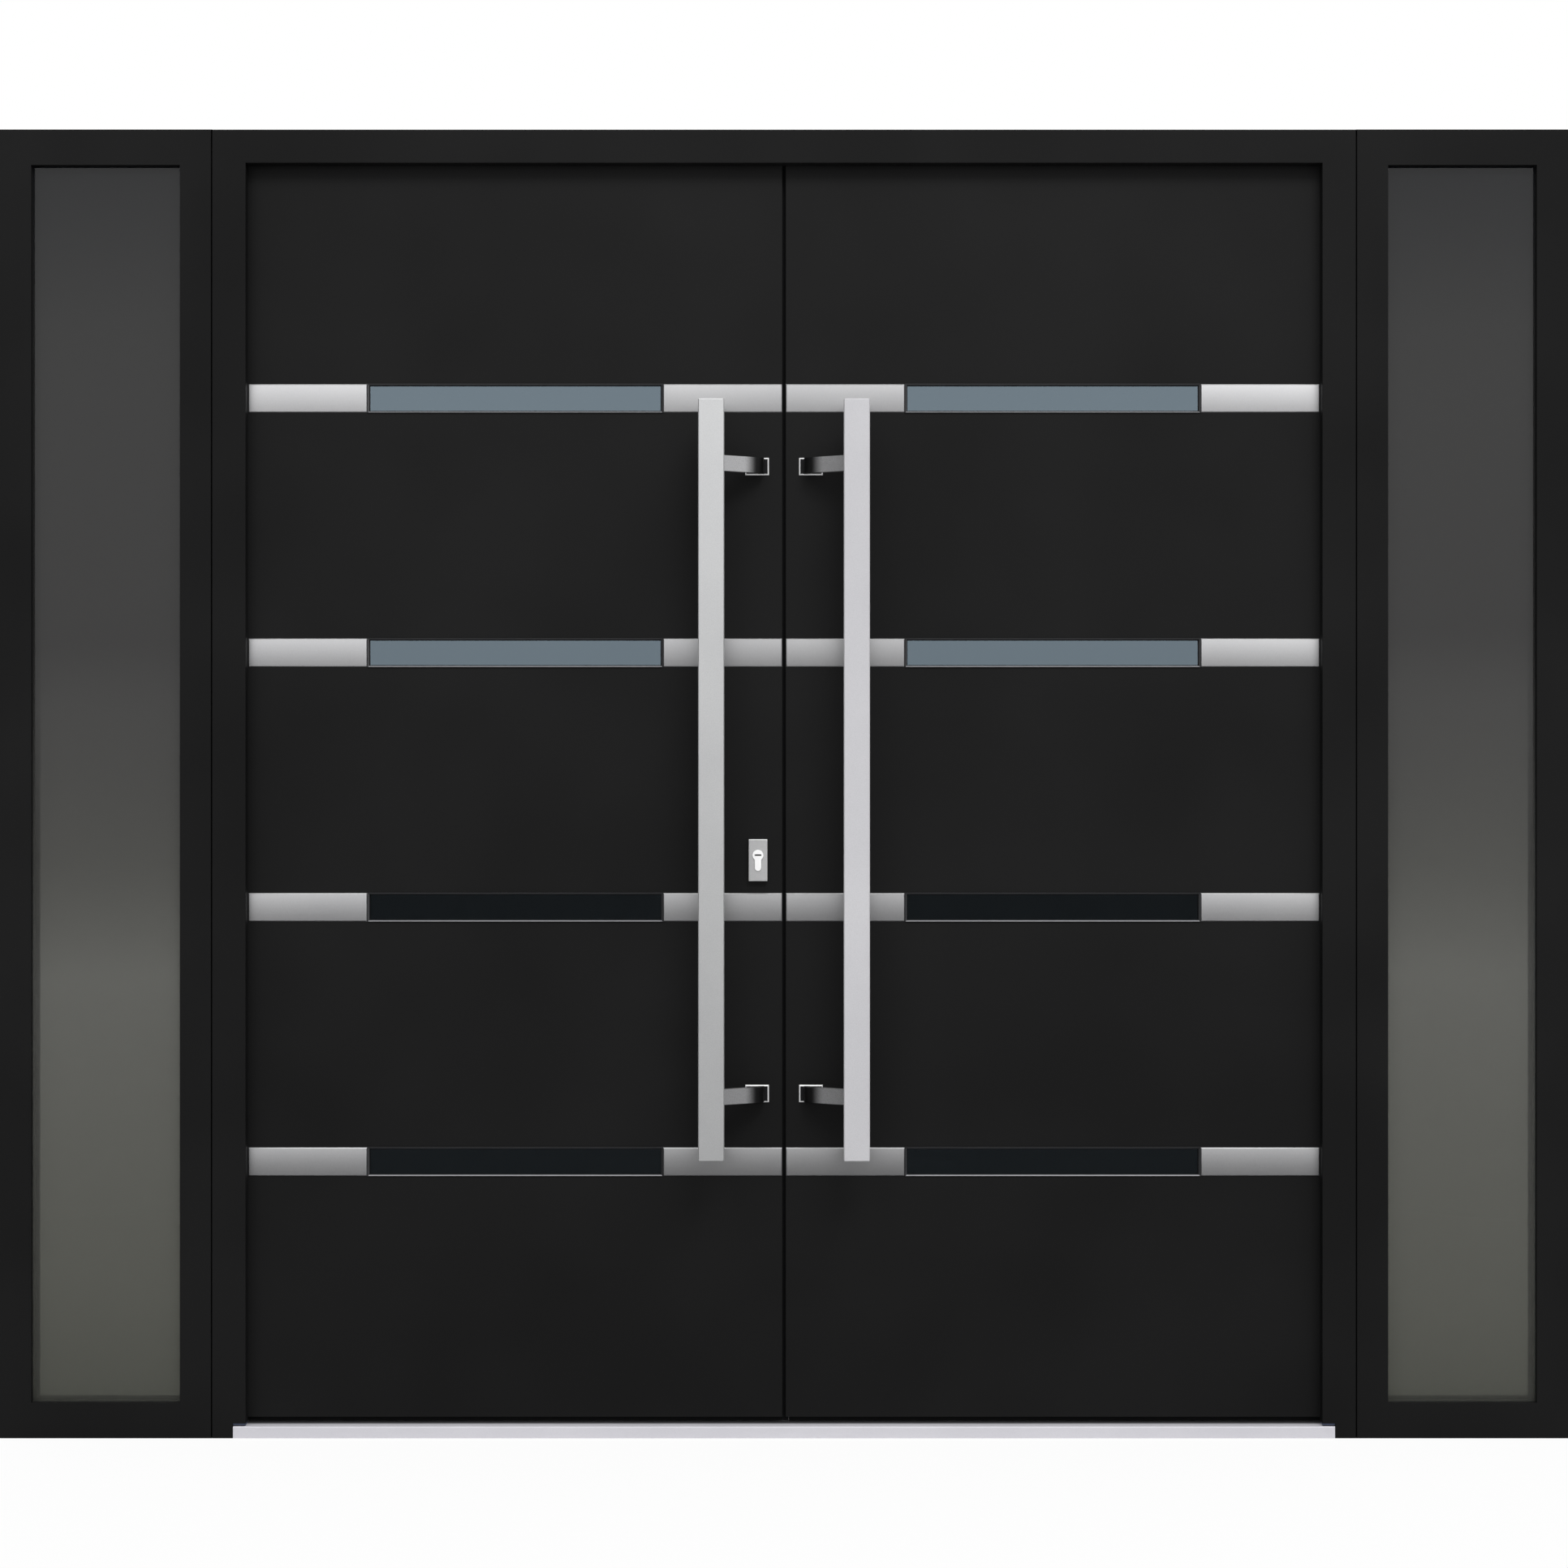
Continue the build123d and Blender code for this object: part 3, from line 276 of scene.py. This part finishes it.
def faced_metal(name, face, rim, roughness, face_metallic, rim_metallic, specular=0.5):
    """Metal whose flat front and back have one finish and whose bevelled rim has another. On the escutcheon
    the rim's lighter colour is a painted highlight.
    """
    n = Material(name)
    n.set(Specular_IOR_Level=specular)
    facing = n.maths("ABSOLUTE", (n.split(n.place, "Normal"), "Y"))
    bare = n.levels(facing, "Value", 1.0, 0.0, start=0.90, end=0.95)
    if face_metallic == rim_metallic:
        n.set(Metallic=face_metallic)
    else:
        metallic = n.levels(bare, "Result", face_metallic, rim_metallic, start=0.0, end=1.0)
        n.link(metallic, "Result", n.shader, "Metallic")
    grain = n.noise(scale=900.0, detail=2.0)
    colour = n.add("ShaderNodeMix", data_type="RGBA")
    n.link(bare, "Result", colour, "Factor")
    n.link(n.tones(grain, face, dark=0.93, light=1.04), "Color", colour, "A")
    n.link(n.tones(grain, rim, dark=0.97, light=1.02), "Color", colour, "B")
    n.coat(colour, "Result")
    n.gloss(grain, roughness - 0.05, roughness + 0.05)
    n.bump(grain, "Fac", depth=0.02 * MM, strength=0.25)
    return n.material


def soft_rubber(name, colour):
    """Extruded rubber: dull, with a faint dusty bloom."""
    n = Material(name)
    n.set(Specular_IOR_Level=0.15)
    bloom = n.noise(scale=140.0, detail=3.0)
    n.coat(n.tones(bloom, colour, dark=1.0, light=1.7, start=0.35, end=0.75))
    n.gloss(bloom, low=0.67, high=0.85)
    n.bump(bloom, "Fac", depth=0.06 * MM, strength=0.3)
    return n.material


def moulded_plastic(name, colour, roughness):
    """Moulded plastic with a fine spark-eroded texture."""
    n = Material(name)
    n.set(Specular_IOR_Level=0.4)
    grain = n.noise(scale=1400.0, detail=2.0)
    n.coat(n.tones(grain, colour, dark=0.9, light=1.1))
    n.gloss(grain, roughness - 0.05, roughness + 0.05)
    n.bump(grain, "Fac", depth=0.05 * MM, strength=0.3)
    return n.material


def tinted_glass(name, tints_and_reflection, ior=1.45, specular=0.5, clear=1.0, cast=WHITE):
    """Tinted float glass with a trace of waviness.

    The tints and reflection are (height, colour) pairs, from 0 at the foot to almost 1 at 2 m; on the
    sidelights their change with height is a painted reflection. Clear below 1 leaves a haze, and the cast is
    the colour of the reflections.
    """
    n = Material(name)
    n.set(Transmission_Weight=clear, IOR=ior, Roughness=0.0, Specular_IOR_Level=specular)
    n.set(Specular_Tint=(*cast, 1))
    height = n.levels(n.split(n.place, "Object"), "Z", 0.0, 0.97, start=0.0, end=2.0)
    drift = n.levels(n.noise(scale=1.3, detail=1.0), "Fac", 0.0, 0.03)
    tint_and_reflection_height = n.maths("ADD", (height, "Result"), (drift, "Result"))
    n.coat(n.ramp(tint_and_reflection_height, "Value", tints_and_reflection))
    n.bump(n.noise(scale=2.2, detail=1.0), "Fac", depth=0.2 * MM, strength=0.05)
    return n.material


# Materials

DRAWN_UPRIGHT = (700, 700, 5)
DRAWN_ACROSS = (4, 500, 500)
STRIP_CROWN = dict(first=ROW_HEIGHTS[0], spacing=ROW_SPACING, radius=320 * MM)
# Painted shade: the strips are darker towards the middle of the door, and the right bar towards its top
STRIP_PAINTED_SHADE = dict(axis="X", place=120 * MM, dark=50 * MM, clean=850 * MM, least=0.78)
RIGHT_BAR_PAINTED_SHADE = dict(axis="Z", place=1630 * MM, dark=0.0, clean=900 * MM, least=0.86)
# Painted shade: the arms go black beside their feet, and the threshold has a dark band under the leaves
ARM_PAINTED_SHADE = dict(axis="X", place=0.0, dark=42 * MM, clean=62 * MM, least=0.03)
SILL_PAINTED_SHADE = dict(axis="Y", place=-16 * MM, dark=12 * MM, clean=23 * MM, least=0.06)
# The sidelights' glass is tinted; its change of tone with height, light low down and dark at the top, is a
# painted reflection
SIDELIGHT_TINT_AND_REFLECTION = [
    (0.00, (0.225, 0.230, 0.205)),
    (0.12, (0.274, 0.277, 0.253)),
    (0.36, (0.322, 0.324, 0.307)),
    (0.61, (0.101, 0.099, 0.097)),
    (0.85, (0.086, 0.086, 0.085)),
    (1.00, (0.030, 0.032, 0.038)),
]
WINDOW_TINTS = [(0.0, (0.050, 0.050, 0.050)), (1.0, (0.045, 0.048, 0.050))]

materials = {}


def finish(name, make, *values, **settings):
    """Makes a material and keeps it under its name."""
    materials[name] = make(name, *values, **settings)


finish("frame_paint", powder_coat, (0.0100, 0.0100, 0.0101), specular=0.05)
finish("leaf_paint", powder_coat, (0.0088, 0.0088, 0.0089), specular=0.1)
finish("leaf_filling", moulded_plastic, (0.02, 0.02, 0.021), roughness=0.6)
finish("inlay_steel", blasted_metal, (0.735, 0.735, 0.745), roughness=0.40, contrast=0.06,
       fade=STRIP_PAINTED_SHADE, crown=STRIP_CROWN)
# The two pull bars are one steel: the differences between these two materials, and the right bar's darkening,
# are painted light and shade
finish("left_bar_steel", blasted_metal, (0.74, 0.745, 0.75), roughness=0.40, metallic=0.8,
       drawn=DRAWN_UPRIGHT)
finish("right_bar_steel", blasted_metal, (0.71, 0.705, 0.73), roughness=0.46, metallic=0.45,
       drawn=DRAWN_UPRIGHT, fade=RIGHT_BAR_PAINTED_SHADE)
finish("satin_steel", blasted_metal, (0.70, 0.70, 0.70), roughness=0.34)
finish("arm_steel", blasted_metal, (0.68, 0.68, 0.69), roughness=0.34, metallic=0.8, contrast=0.3,
       fade=ARM_PAINTED_SHADE)
# The escutcheon is one steel; its rim's lighter colour is a painted highlight on the bevel
finish("plate_steel", faced_metal, (0.57, 0.57, 0.575), (0.92, 0.92, 0.92), roughness=0.4,
       face_metallic=0.5, rim_metallic=0.5)
finish("foot_steel", faced_metal, (0.012, 0.012, 0.013), (0.90, 0.90, 0.90), roughness=0.34,
       face_metallic=0.0, rim_metallic=0.3, specular=0.08)
# The lock cylinder is plated steel; its near-white, non-metallic colour is a painted reflection of bright
# light
finish("bright_steel", plated_metal, (0.98, 0.98, 0.98), roughness=0.35, metallic=0.0)
finish("screw_steel", plated_metal, (0.62, 0.62, 0.63), roughness=0.28)
finish("sill_aluminium", blasted_metal, (0.72, 0.71, 0.755), roughness=0.45, metallic=0.15, contrast=0.04,
       drawn=DRAWN_ACROSS, fade=SILL_PAINTED_SHADE)
finish("window_aluminium", faced_metal, (0.02, 0.02, 0.021), (0.24, 0.24, 0.25), roughness=0.5,
       face_metallic=0.5, rim_metallic=1.0)
finish("spacer_aluminium", blasted_metal, (0.30, 0.30, 0.31), roughness=0.4)
finish("sidelight_glass", tinted_glass, SIDELIGHT_TINT_AND_REFLECTION, specular=0.04, clear=0.85)
# The windows' panes are coated: a high index gives them their strong reflection of the sky
finish("window_glass", tinted_glass, WINDOW_TINTS, ior=2.55, cast=(0.68, 0.86, 1.0))
finish("seal_rubber", soft_rubber, (0.006, 0.006, 0.0065))
finish("block_plastic", moulded_plastic, (0.06, 0.075, 0.13), roughness=0.45)
# Painted shadow: a black plug for the shade inside the keyway
finish("keyway_dark", moulded_plastic, (0.004, 0.004, 0.004), roughness=0.7)

# The CAD nodes that take each material, where {} stands for left and right
NODE_FINISH = {
    "frame_paint": ["{}_jamb", "head", "{}_sidelight_stiles", "{}_sidelight_rails", "sidelight_beads"],
    "leaf_paint": ["{}_leaf_outer_skin", "{}_leaf_inner_skin"],
    "leaf_filling": ["{}_leaf_core"],
    "inlay_steel": ["{}_leaf_inlays"],
    "left_bar_steel": ["left_pull_bar"],
    "right_bar_steel": ["right_pull_bar"],
    "arm_steel": ["{}_pull_arms"],
    "plate_steel": ["left_leaf_escutcheons"],
    "satin_steel": ["frame_hinge_halves", "{}_leaf_hinge_halves", "left_leaf_lever", "left_leaf_lock_rail",
                    "right_leaf_strike_rail", "right_leaf_flush_bolts"],
    "foot_steel": ["{}_pull_feet"],
    "bright_steel": ["left_leaf_lock_cylinder"],
    "screw_steel": ["left_leaf_bolts"],
    "sill_aluminium": ["threshold"],
    "window_aluminium": ["{}_leaf_window_frames"],
    "spacer_aluminium": ["sidelight_spacers"],
    "sidelight_glass": ["sidelight_glass"],
    "window_glass": ["{}_leaf_glass"],
    "seal_rubber": ["frame_seal", "sidelight_gaskets", "{}_leaf_foot_seal", "left_leaf_meeting_seal"],
    "block_plastic": ["threshold_end_blocks"],
}

for material_name, patterns in NODE_FINISH.items():
    for pattern in patterns:
        for _, word in LEAVES:
            for slot in frame["nodes"][pattern.format(word)].material_slots:
                slot.material = materials[material_name]


# Forms of the small parts


def finished_piece(shape, name, body, material, smooth=False):
    """Turns a bmesh into a piece that rides on a body and takes one material."""
    bmesh.ops.remove_doubles(shape, verts=shape.verts, dist=1e-6)
    bmesh.ops.recalc_face_normals(shape, faces=shape.faces)
    mesh = bpy.data.meshes.new(name)
    shape.to_mesh(mesh)
    shape.free()
    if smooth:
        mesh.shade_smooth()
    mesh.materials.append(materials[material])
    piece = bpy.data.objects.new(name, mesh)
    bpy.context.collection.objects.link(piece)
    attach(piece, body)


def add_turned(shape, place, normal, rings, segments=24):
    """Adds a turned form.

    Each ring is (height, radius), where a radius may depend on the angle. The first and last are filled.
    """
    turn = Vector((0, 0, 1)).rotation_difference(Vector(normal)).to_matrix()
    loops = []
    for height, radius in rings:
        loop = []
        for step in range(segments):
            angle = 2 * math.pi * step / segments
            reach = radius(angle) if callable(radius) else radius
            point = Vector((reach * math.cos(angle), reach * math.sin(angle), height))
            loop.append(shape.verts.new(Vector(place) + turn @ point))
        loops.append(loop)
    for low, high in zip(loops, loops[1:]):
        for step in range(segments):
            after = (step + 1) % segments
            shape.faces.new((low[step], low[after], high[after], high[step]))
    shape.faces.new(reversed(loops[0]))
    shape.faces.new(loops[-1])


def hexagon(size):
    """The radius of a hexagon at each angle, where the size is that of its corners."""
    half_side = math.pi / 6
    return lambda angle: size * math.cos(half_side) / math.cos(angle % (2 * half_side) - half_side)


def rounded_slot(half_length, end_radius):
    """The radius of a slot with round ends at each angle, where the half length stops at an end's centre."""

    def radius(angle):
        across, up = abs(math.cos(angle)), abs(math.sin(angle))
        if up * half_length > across * end_radius:
            return end_radius / up
        return half_length * across + math.sqrt(max(end_radius ** 2 - (half_length * up) ** 2, 0))

    return radius


def add_screw(shape, place, normal, radius):
    """Adds a low domed screw head with a hexagonal socket."""
    socket = hexagon(0.45 * radius)
    rings = [
        (-0.05 * radius, radius),
        (0.10 * radius, radius),
        (0.20 * radius, 0.90 * radius),
        (0.26 * radius, 0.62 * radius),
        (0.26 * radius, socket),
        (0.02 * radius, socket),
    ]
    add_turned(shape, place, normal, rings)


def add_loop(shape, centre, half_size, profile):
    """Adds a mitred rectangular loop in the XZ plane. The profile is a ring of (inset, depth) points."""
    rows = []
    for inset, depth in profile:
        width, height = half_size[0] - inset, half_size[1] - inset
        corners = ((-width, -height), (width, -height), (width, height), (-width, height))
        rows.append([shape.verts.new((centre[0] + x, depth, centre[1] + z)) for x, z in corners])
    for row, after in zip(rows, rows[1:] + rows[:1]):
        for corner in range(4):
            turn = (corner + 1) % 4
            shape.faces.new((row[corner], row[turn], after[turn], after[corner]))


# Hinges: caps on the barrels, a washer between the halves and screws in the plates

HINGE_AXIS = {joint["child"]: joint["pos_m"] for joint in frame["joints"]}
HINGE_HEIGHTS = [height * MM for height in (250, 1010, 1770)]
HALF_GAP = 0.25 * MM
KNUCKLE = 56 * MM
BARREL_RADIUS = 10 * MM
CAP = [
    (0.0, BARREL_RADIUS),
    (0.8 * MM, BARREL_RADIUS),
    (1.8 * MM, 9.2 * MM),
    (2.6 * MM, 7 * MM),
    (3.0 * MM, 3.5 * MM),
]
PIN_HOLE, WASHER_RADIUS, HALF_WASHER = 5.3 * MM, 9.5 * MM, 0.2 * MM
WASHER = [
    (-HALF_WASHER, PIN_HOLE),
    (-HALF_WASHER, WASHER_RADIUS),
    (HALF_WASHER, WASHER_RADIUS),
    (HALF_WASHER, PIN_HOLE),
]
BARREL_SEGMENTS = 32
PLATE_FACE = 54 * MM
PLATE_MIDDLE = 25.5 * MM
PLATE_SCREW = 4 * MM
UP, DOWN, INWARDS = (0, 0, 1), (0, 0, -1), (0, 1, 0)

frame_caps, frame_screws, washers = bmesh.new(), bmesh.new(), bmesh.new()
for side, word in LEAVES:
    leaf = f"{word}_leaf"
    leaf_caps, leaf_screws = bmesh.new(), bmesh.new()
    across, depth = HINGE_AXIS[leaf][:2]
    leaf_plate, frame_plate = across - side * PLATE_MIDDLE, across + side * PLATE_MIDDLE
    for middle in HINGE_HEIGHTS:
        top, foot = middle + HALF_GAP + KNUCKLE, middle - HALF_GAP - KNUCKLE
        add_turned(leaf_caps, (across, depth, top), UP, CAP, BARREL_SEGMENTS)
        add_turned(frame_caps, (across, depth, foot), DOWN, CAP, BARREL_SEGMENTS)
        add_turned(washers, (across, depth, middle), UP, WASHER, BARREL_SEGMENTS)
        for inset in (KNUCKLE / 4, KNUCKLE * 3 / 4):
            add_screw(leaf_screws, (leaf_plate, PLATE_FACE, top - inset), INWARDS, PLATE_SCREW)
            add_screw(frame_screws, (frame_plate, PLATE_FACE, foot + inset), INWARDS, PLATE_SCREW)
    finished_piece(leaf_caps, f"{leaf}_hinge_caps", leaf, "satin_steel", smooth=True)
    finished_piece(leaf_screws, f"{leaf}_hinge_screws", leaf, "screw_steel")
finished_piece(frame_caps, "frame_hinge_caps", "frame", "satin_steel", smooth=True)
finished_piece(frame_screws, "frame_hinge_screws", "frame", "screw_steel")
finished_piece(washers, "frame_hinge_washers", "frame", "seal_rubber")

# Screws in the long plates on the meeting edges, and in the flush bolts' plates

RAIL_SCREWS = [height * MM for height in (180, 480, 700, 920, 1150, 1400, 1560, 1842)]
FLUSH_SCREWS = [height * MM for height in (56, 140, 1882, 1966)]
EDGE_SCREW = 3 * MM
rail_low, rail_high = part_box("right_leaf_strike_rail")
RAIL_FACE = rail_low.x
RAIL_MIDDLE = (rail_low.y + rail_high.y) / 2

for side, word in LEAVES:
    rail_screws = bmesh.new()
    heights = RAIL_SCREWS if side == LEFT else RAIL_SCREWS + FLUSH_SCREWS
    for height in heights:
        add_screw(rail_screws, (side * RAIL_FACE, RAIL_MIDDLE, height), (-side, 0, 0), EDGE_SCREW)
    finished_piece(rail_screws, f"{word}_leaf_edge_screws", f"{word}_leaf", "screw_steel")

# Rubber lines where the panes meet the window frames

WINDOW_HALF = (228 * MM, 20.5 * MM)
GASKET = [(0.0, 0.0), (0.0, 1.6 * MM), (0.6 * MM, 1.4 * MM), (1.4 * MM, 0.3 * MM), (1.4 * MM, 0.0)]
glass_low, glass_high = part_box("right_leaf_glass")
WINDOW_MIDDLE = (glass_low.x + glass_high.x) / 2
PANE_FACES = ((glass_low.y, -1), (glass_high.y, 1))

for side, word in LEAVES:
    lines = bmesh.new()
    for height in ROW_HEIGHTS:
        for pane, out in PANE_FACES:
            profile = [(inset, pane + out * rise) for inset, rise in GASKET]
            add_loop(lines, (side * WINDOW_MIDDLE, height), WINDOW_HALF, profile)
    finished_piece(lines, f"{word}_leaf_window_gaskets", f"{word}_leaf", "seal_rubber")

# Painted shadow: a black plug inside the keyway, at both ends of the lock cylinder, where the keyway is in
# shade

KEYWAY_HEIGHT = 905 * MM
KEYWAY_DEPTH = 4 * MM
KEYWAY = rounded_slot(4.3 * MM, 1.1 * MM)
PLUG = [(-2 * MM, KEYWAY), (2.4 * MM, KEYWAY)]
PLUG_SEGMENTS = 48
cylinder_low, cylinder_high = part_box("left_leaf_lock_cylinder")
KEYWAY_ACROSS = (cylinder_low.x + cylinder_high.x) / 2

keyway_shadows = bmesh.new()
for face, out in ((cylinder_low.y, -1), (cylinder_high.y, 1)):
    place = (KEYWAY_ACROSS, face - out * KEYWAY_DEPTH, KEYWAY_HEIGHT)
    add_turned(keyway_shadows, place, (0, out, 0), PLUG, PLUG_SEGMENTS)
finished_piece(keyway_shadows, "left_leaf_keyway_shadow", "left_leaf", "keyway_dark")

# Camera: level, at the distance and height that the photo's perspective gives. The lens and the sensor are in
# millimetres.

CAMERA_DISTANCE = 5.0
EYE_HEIGHT = 1.0158
FRAMING = 1.0015
SENSOR_WIDTH = 36.0
UNIT_WIDTH = cad_box[1][0] - cad_box[0][0]
FRAME_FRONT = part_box("head")[0].y

camera_data = bpy.data.cameras.new("camera")
camera_data.sensor_width = SENSOR_WIDTH
camera_data.lens = SENSOR_WIDTH * CAMERA_DISTANCE / UNIT_WIDTH * FRAMING
camera = bpy.data.objects.new("camera", camera_data)
camera.location = (0, FRAME_FRONT - CAMERA_DISTANCE, EYE_HEIGHT)
camera.rotation_euler = (math.pi / 2, 0, 0)
bpy.context.collection.objects.link(camera)
bpy.context.scene.camera = camera


# Light


def softbox(name, place, aim_height, width, height, watts):
    """A soft rectangular lamp that is aimed at a point above the middle of the threshold."""
    data = bpy.data.lights.new(name, "AREA")
    data.shape = "RECTANGLE"
    data.size = width
    data.size_y = height
    data.energy = watts
    lamp = bpy.data.objects.new(name, data)
    lamp.location = place
    aim = Vector((0, 0, aim_height)) - Vector(place)
    lamp.rotation_euler = aim.to_track_quat("-Z", "Y").to_euler()
    bpy.context.collection.objects.link(lamp)


softbox("key", (1.6, -4.2, 6.2), aim_height=0.9, width=3.0, height=2.2, watts=200)
softbox("fill", (-2.6, -4.2, 6.0), aim_height=0.9, width=2.4, height=2.0, watts=60)
softbox("back", (0.5, 3.6, 4.6), aim_height=1.0, width=2.4, height=2.4, watts=120)

# The world in reflections. SKY is its lightness by the height of a ray, from straight down at 0 to straight
# up at 1, and SIDES is a factor from the far left at 0 to the far right at 1.
SKY = [
    (0.0, 0.15),
    (0.3, 0.06),
    (0.487, 0.02),
    (0.513, 1.03),
    (0.56, 1.2),
    (0.63, 1.0),
    (0.78, 0.85),
    (1.0, 2.2),
]
SIDES = [(0.02, 0.02), (0.16, 0.35), (0.35, 1.0), (0.65, 1.0), (0.86, 0.85), (0.98, 0.6)]
EVEN_LIGHT = 0.8


def studio_world():
    """White behind the object, and a soft bright sky over a darker ground in its reflections."""
    world = bpy.data.worlds.new("studio")
    bpy.context.scene.world = world
    world.use_nodes = True
    n = Graph(world.node_tree)
    ray = n.split(n.add("ShaderNodeTexCoord"), "Generated")
    reflected = n.add("ShaderNodeBackground")
    for axis, steps, socket in (("Z", SKY, "Color"), ("X", SIDES, "Strength")):
        share = n.levels(ray, axis, 0.0, 1.0, start=-1.0, end=1.0)
        greys = n.ramp(share, "Result", [(place, shade(WHITE, level)) for place, level in steps])
        n.link(greys, "Color", reflected, socket)
    even = n.add("ShaderNodeBackground")
    n.fill(even, Color=(*WHITE, 1), Strength=EVEN_LIGHT)
    white = n.add("ShaderNodeBackground")
    n.fill(white, Color=(*WHITE, 1))
    path = n.add("ShaderNodeLightPath")
    lighting = n.mixed_shader(path, "Is Glossy Ray", even, reflected)
    seen = n.mixed_shader(n.background_rays(), "Value", lighting, white)
    n.link(seen, "Shader", n.add("ShaderNodeOutputWorld"), "Surface")


studio_world()


# Floor

FLOOR_RADIUS = 3.0
FLOOR_DROP = 0.5 * MM
FLOOR_GLOW = 0.93


def floor_material():
    """A pale floor that shows white with a soft shadow."""
    n = Material("floor")
    n.set(Roughness=0.9, Specular_IOR_Level=0.0)
    speck = n.noise(scale=40.0, detail=2.0)
    n.coat(n.tones(speck, WHITE, dark=0.80, light=0.82))
    glow = n.add("ShaderNodeEmission")
    share = n.maths("MULTIPLY", (n.background_rays(), "Value"), FLOOR_GLOW)
    n.link(n.mixed_shader(share, "Value", n.shader, glow), "Shader", n.output, "Surface")
    return n.material


def disc(name, radius, height):
    mesh = bpy.data.meshes.new(name)
    shape = bmesh.new()
    bmesh.ops.create_circle(shape, cap_ends=True, radius=radius, segments=96)
    bmesh.ops.translate(shape, verts=shape.verts, vec=(0, 0, height))
    shape.to_mesh(mesh)
    shape.free()
    piece = bpy.data.objects.new(name, mesh)
    bpy.context.collection.objects.link(piece)
    return piece


floor = disc("floor", FLOOR_RADIUS, -FLOOR_DROP)
floor.data.materials.append(floor_material())
floor.visible_glossy = False

bpy.context.scene.view_settings.view_transform = "Standard"
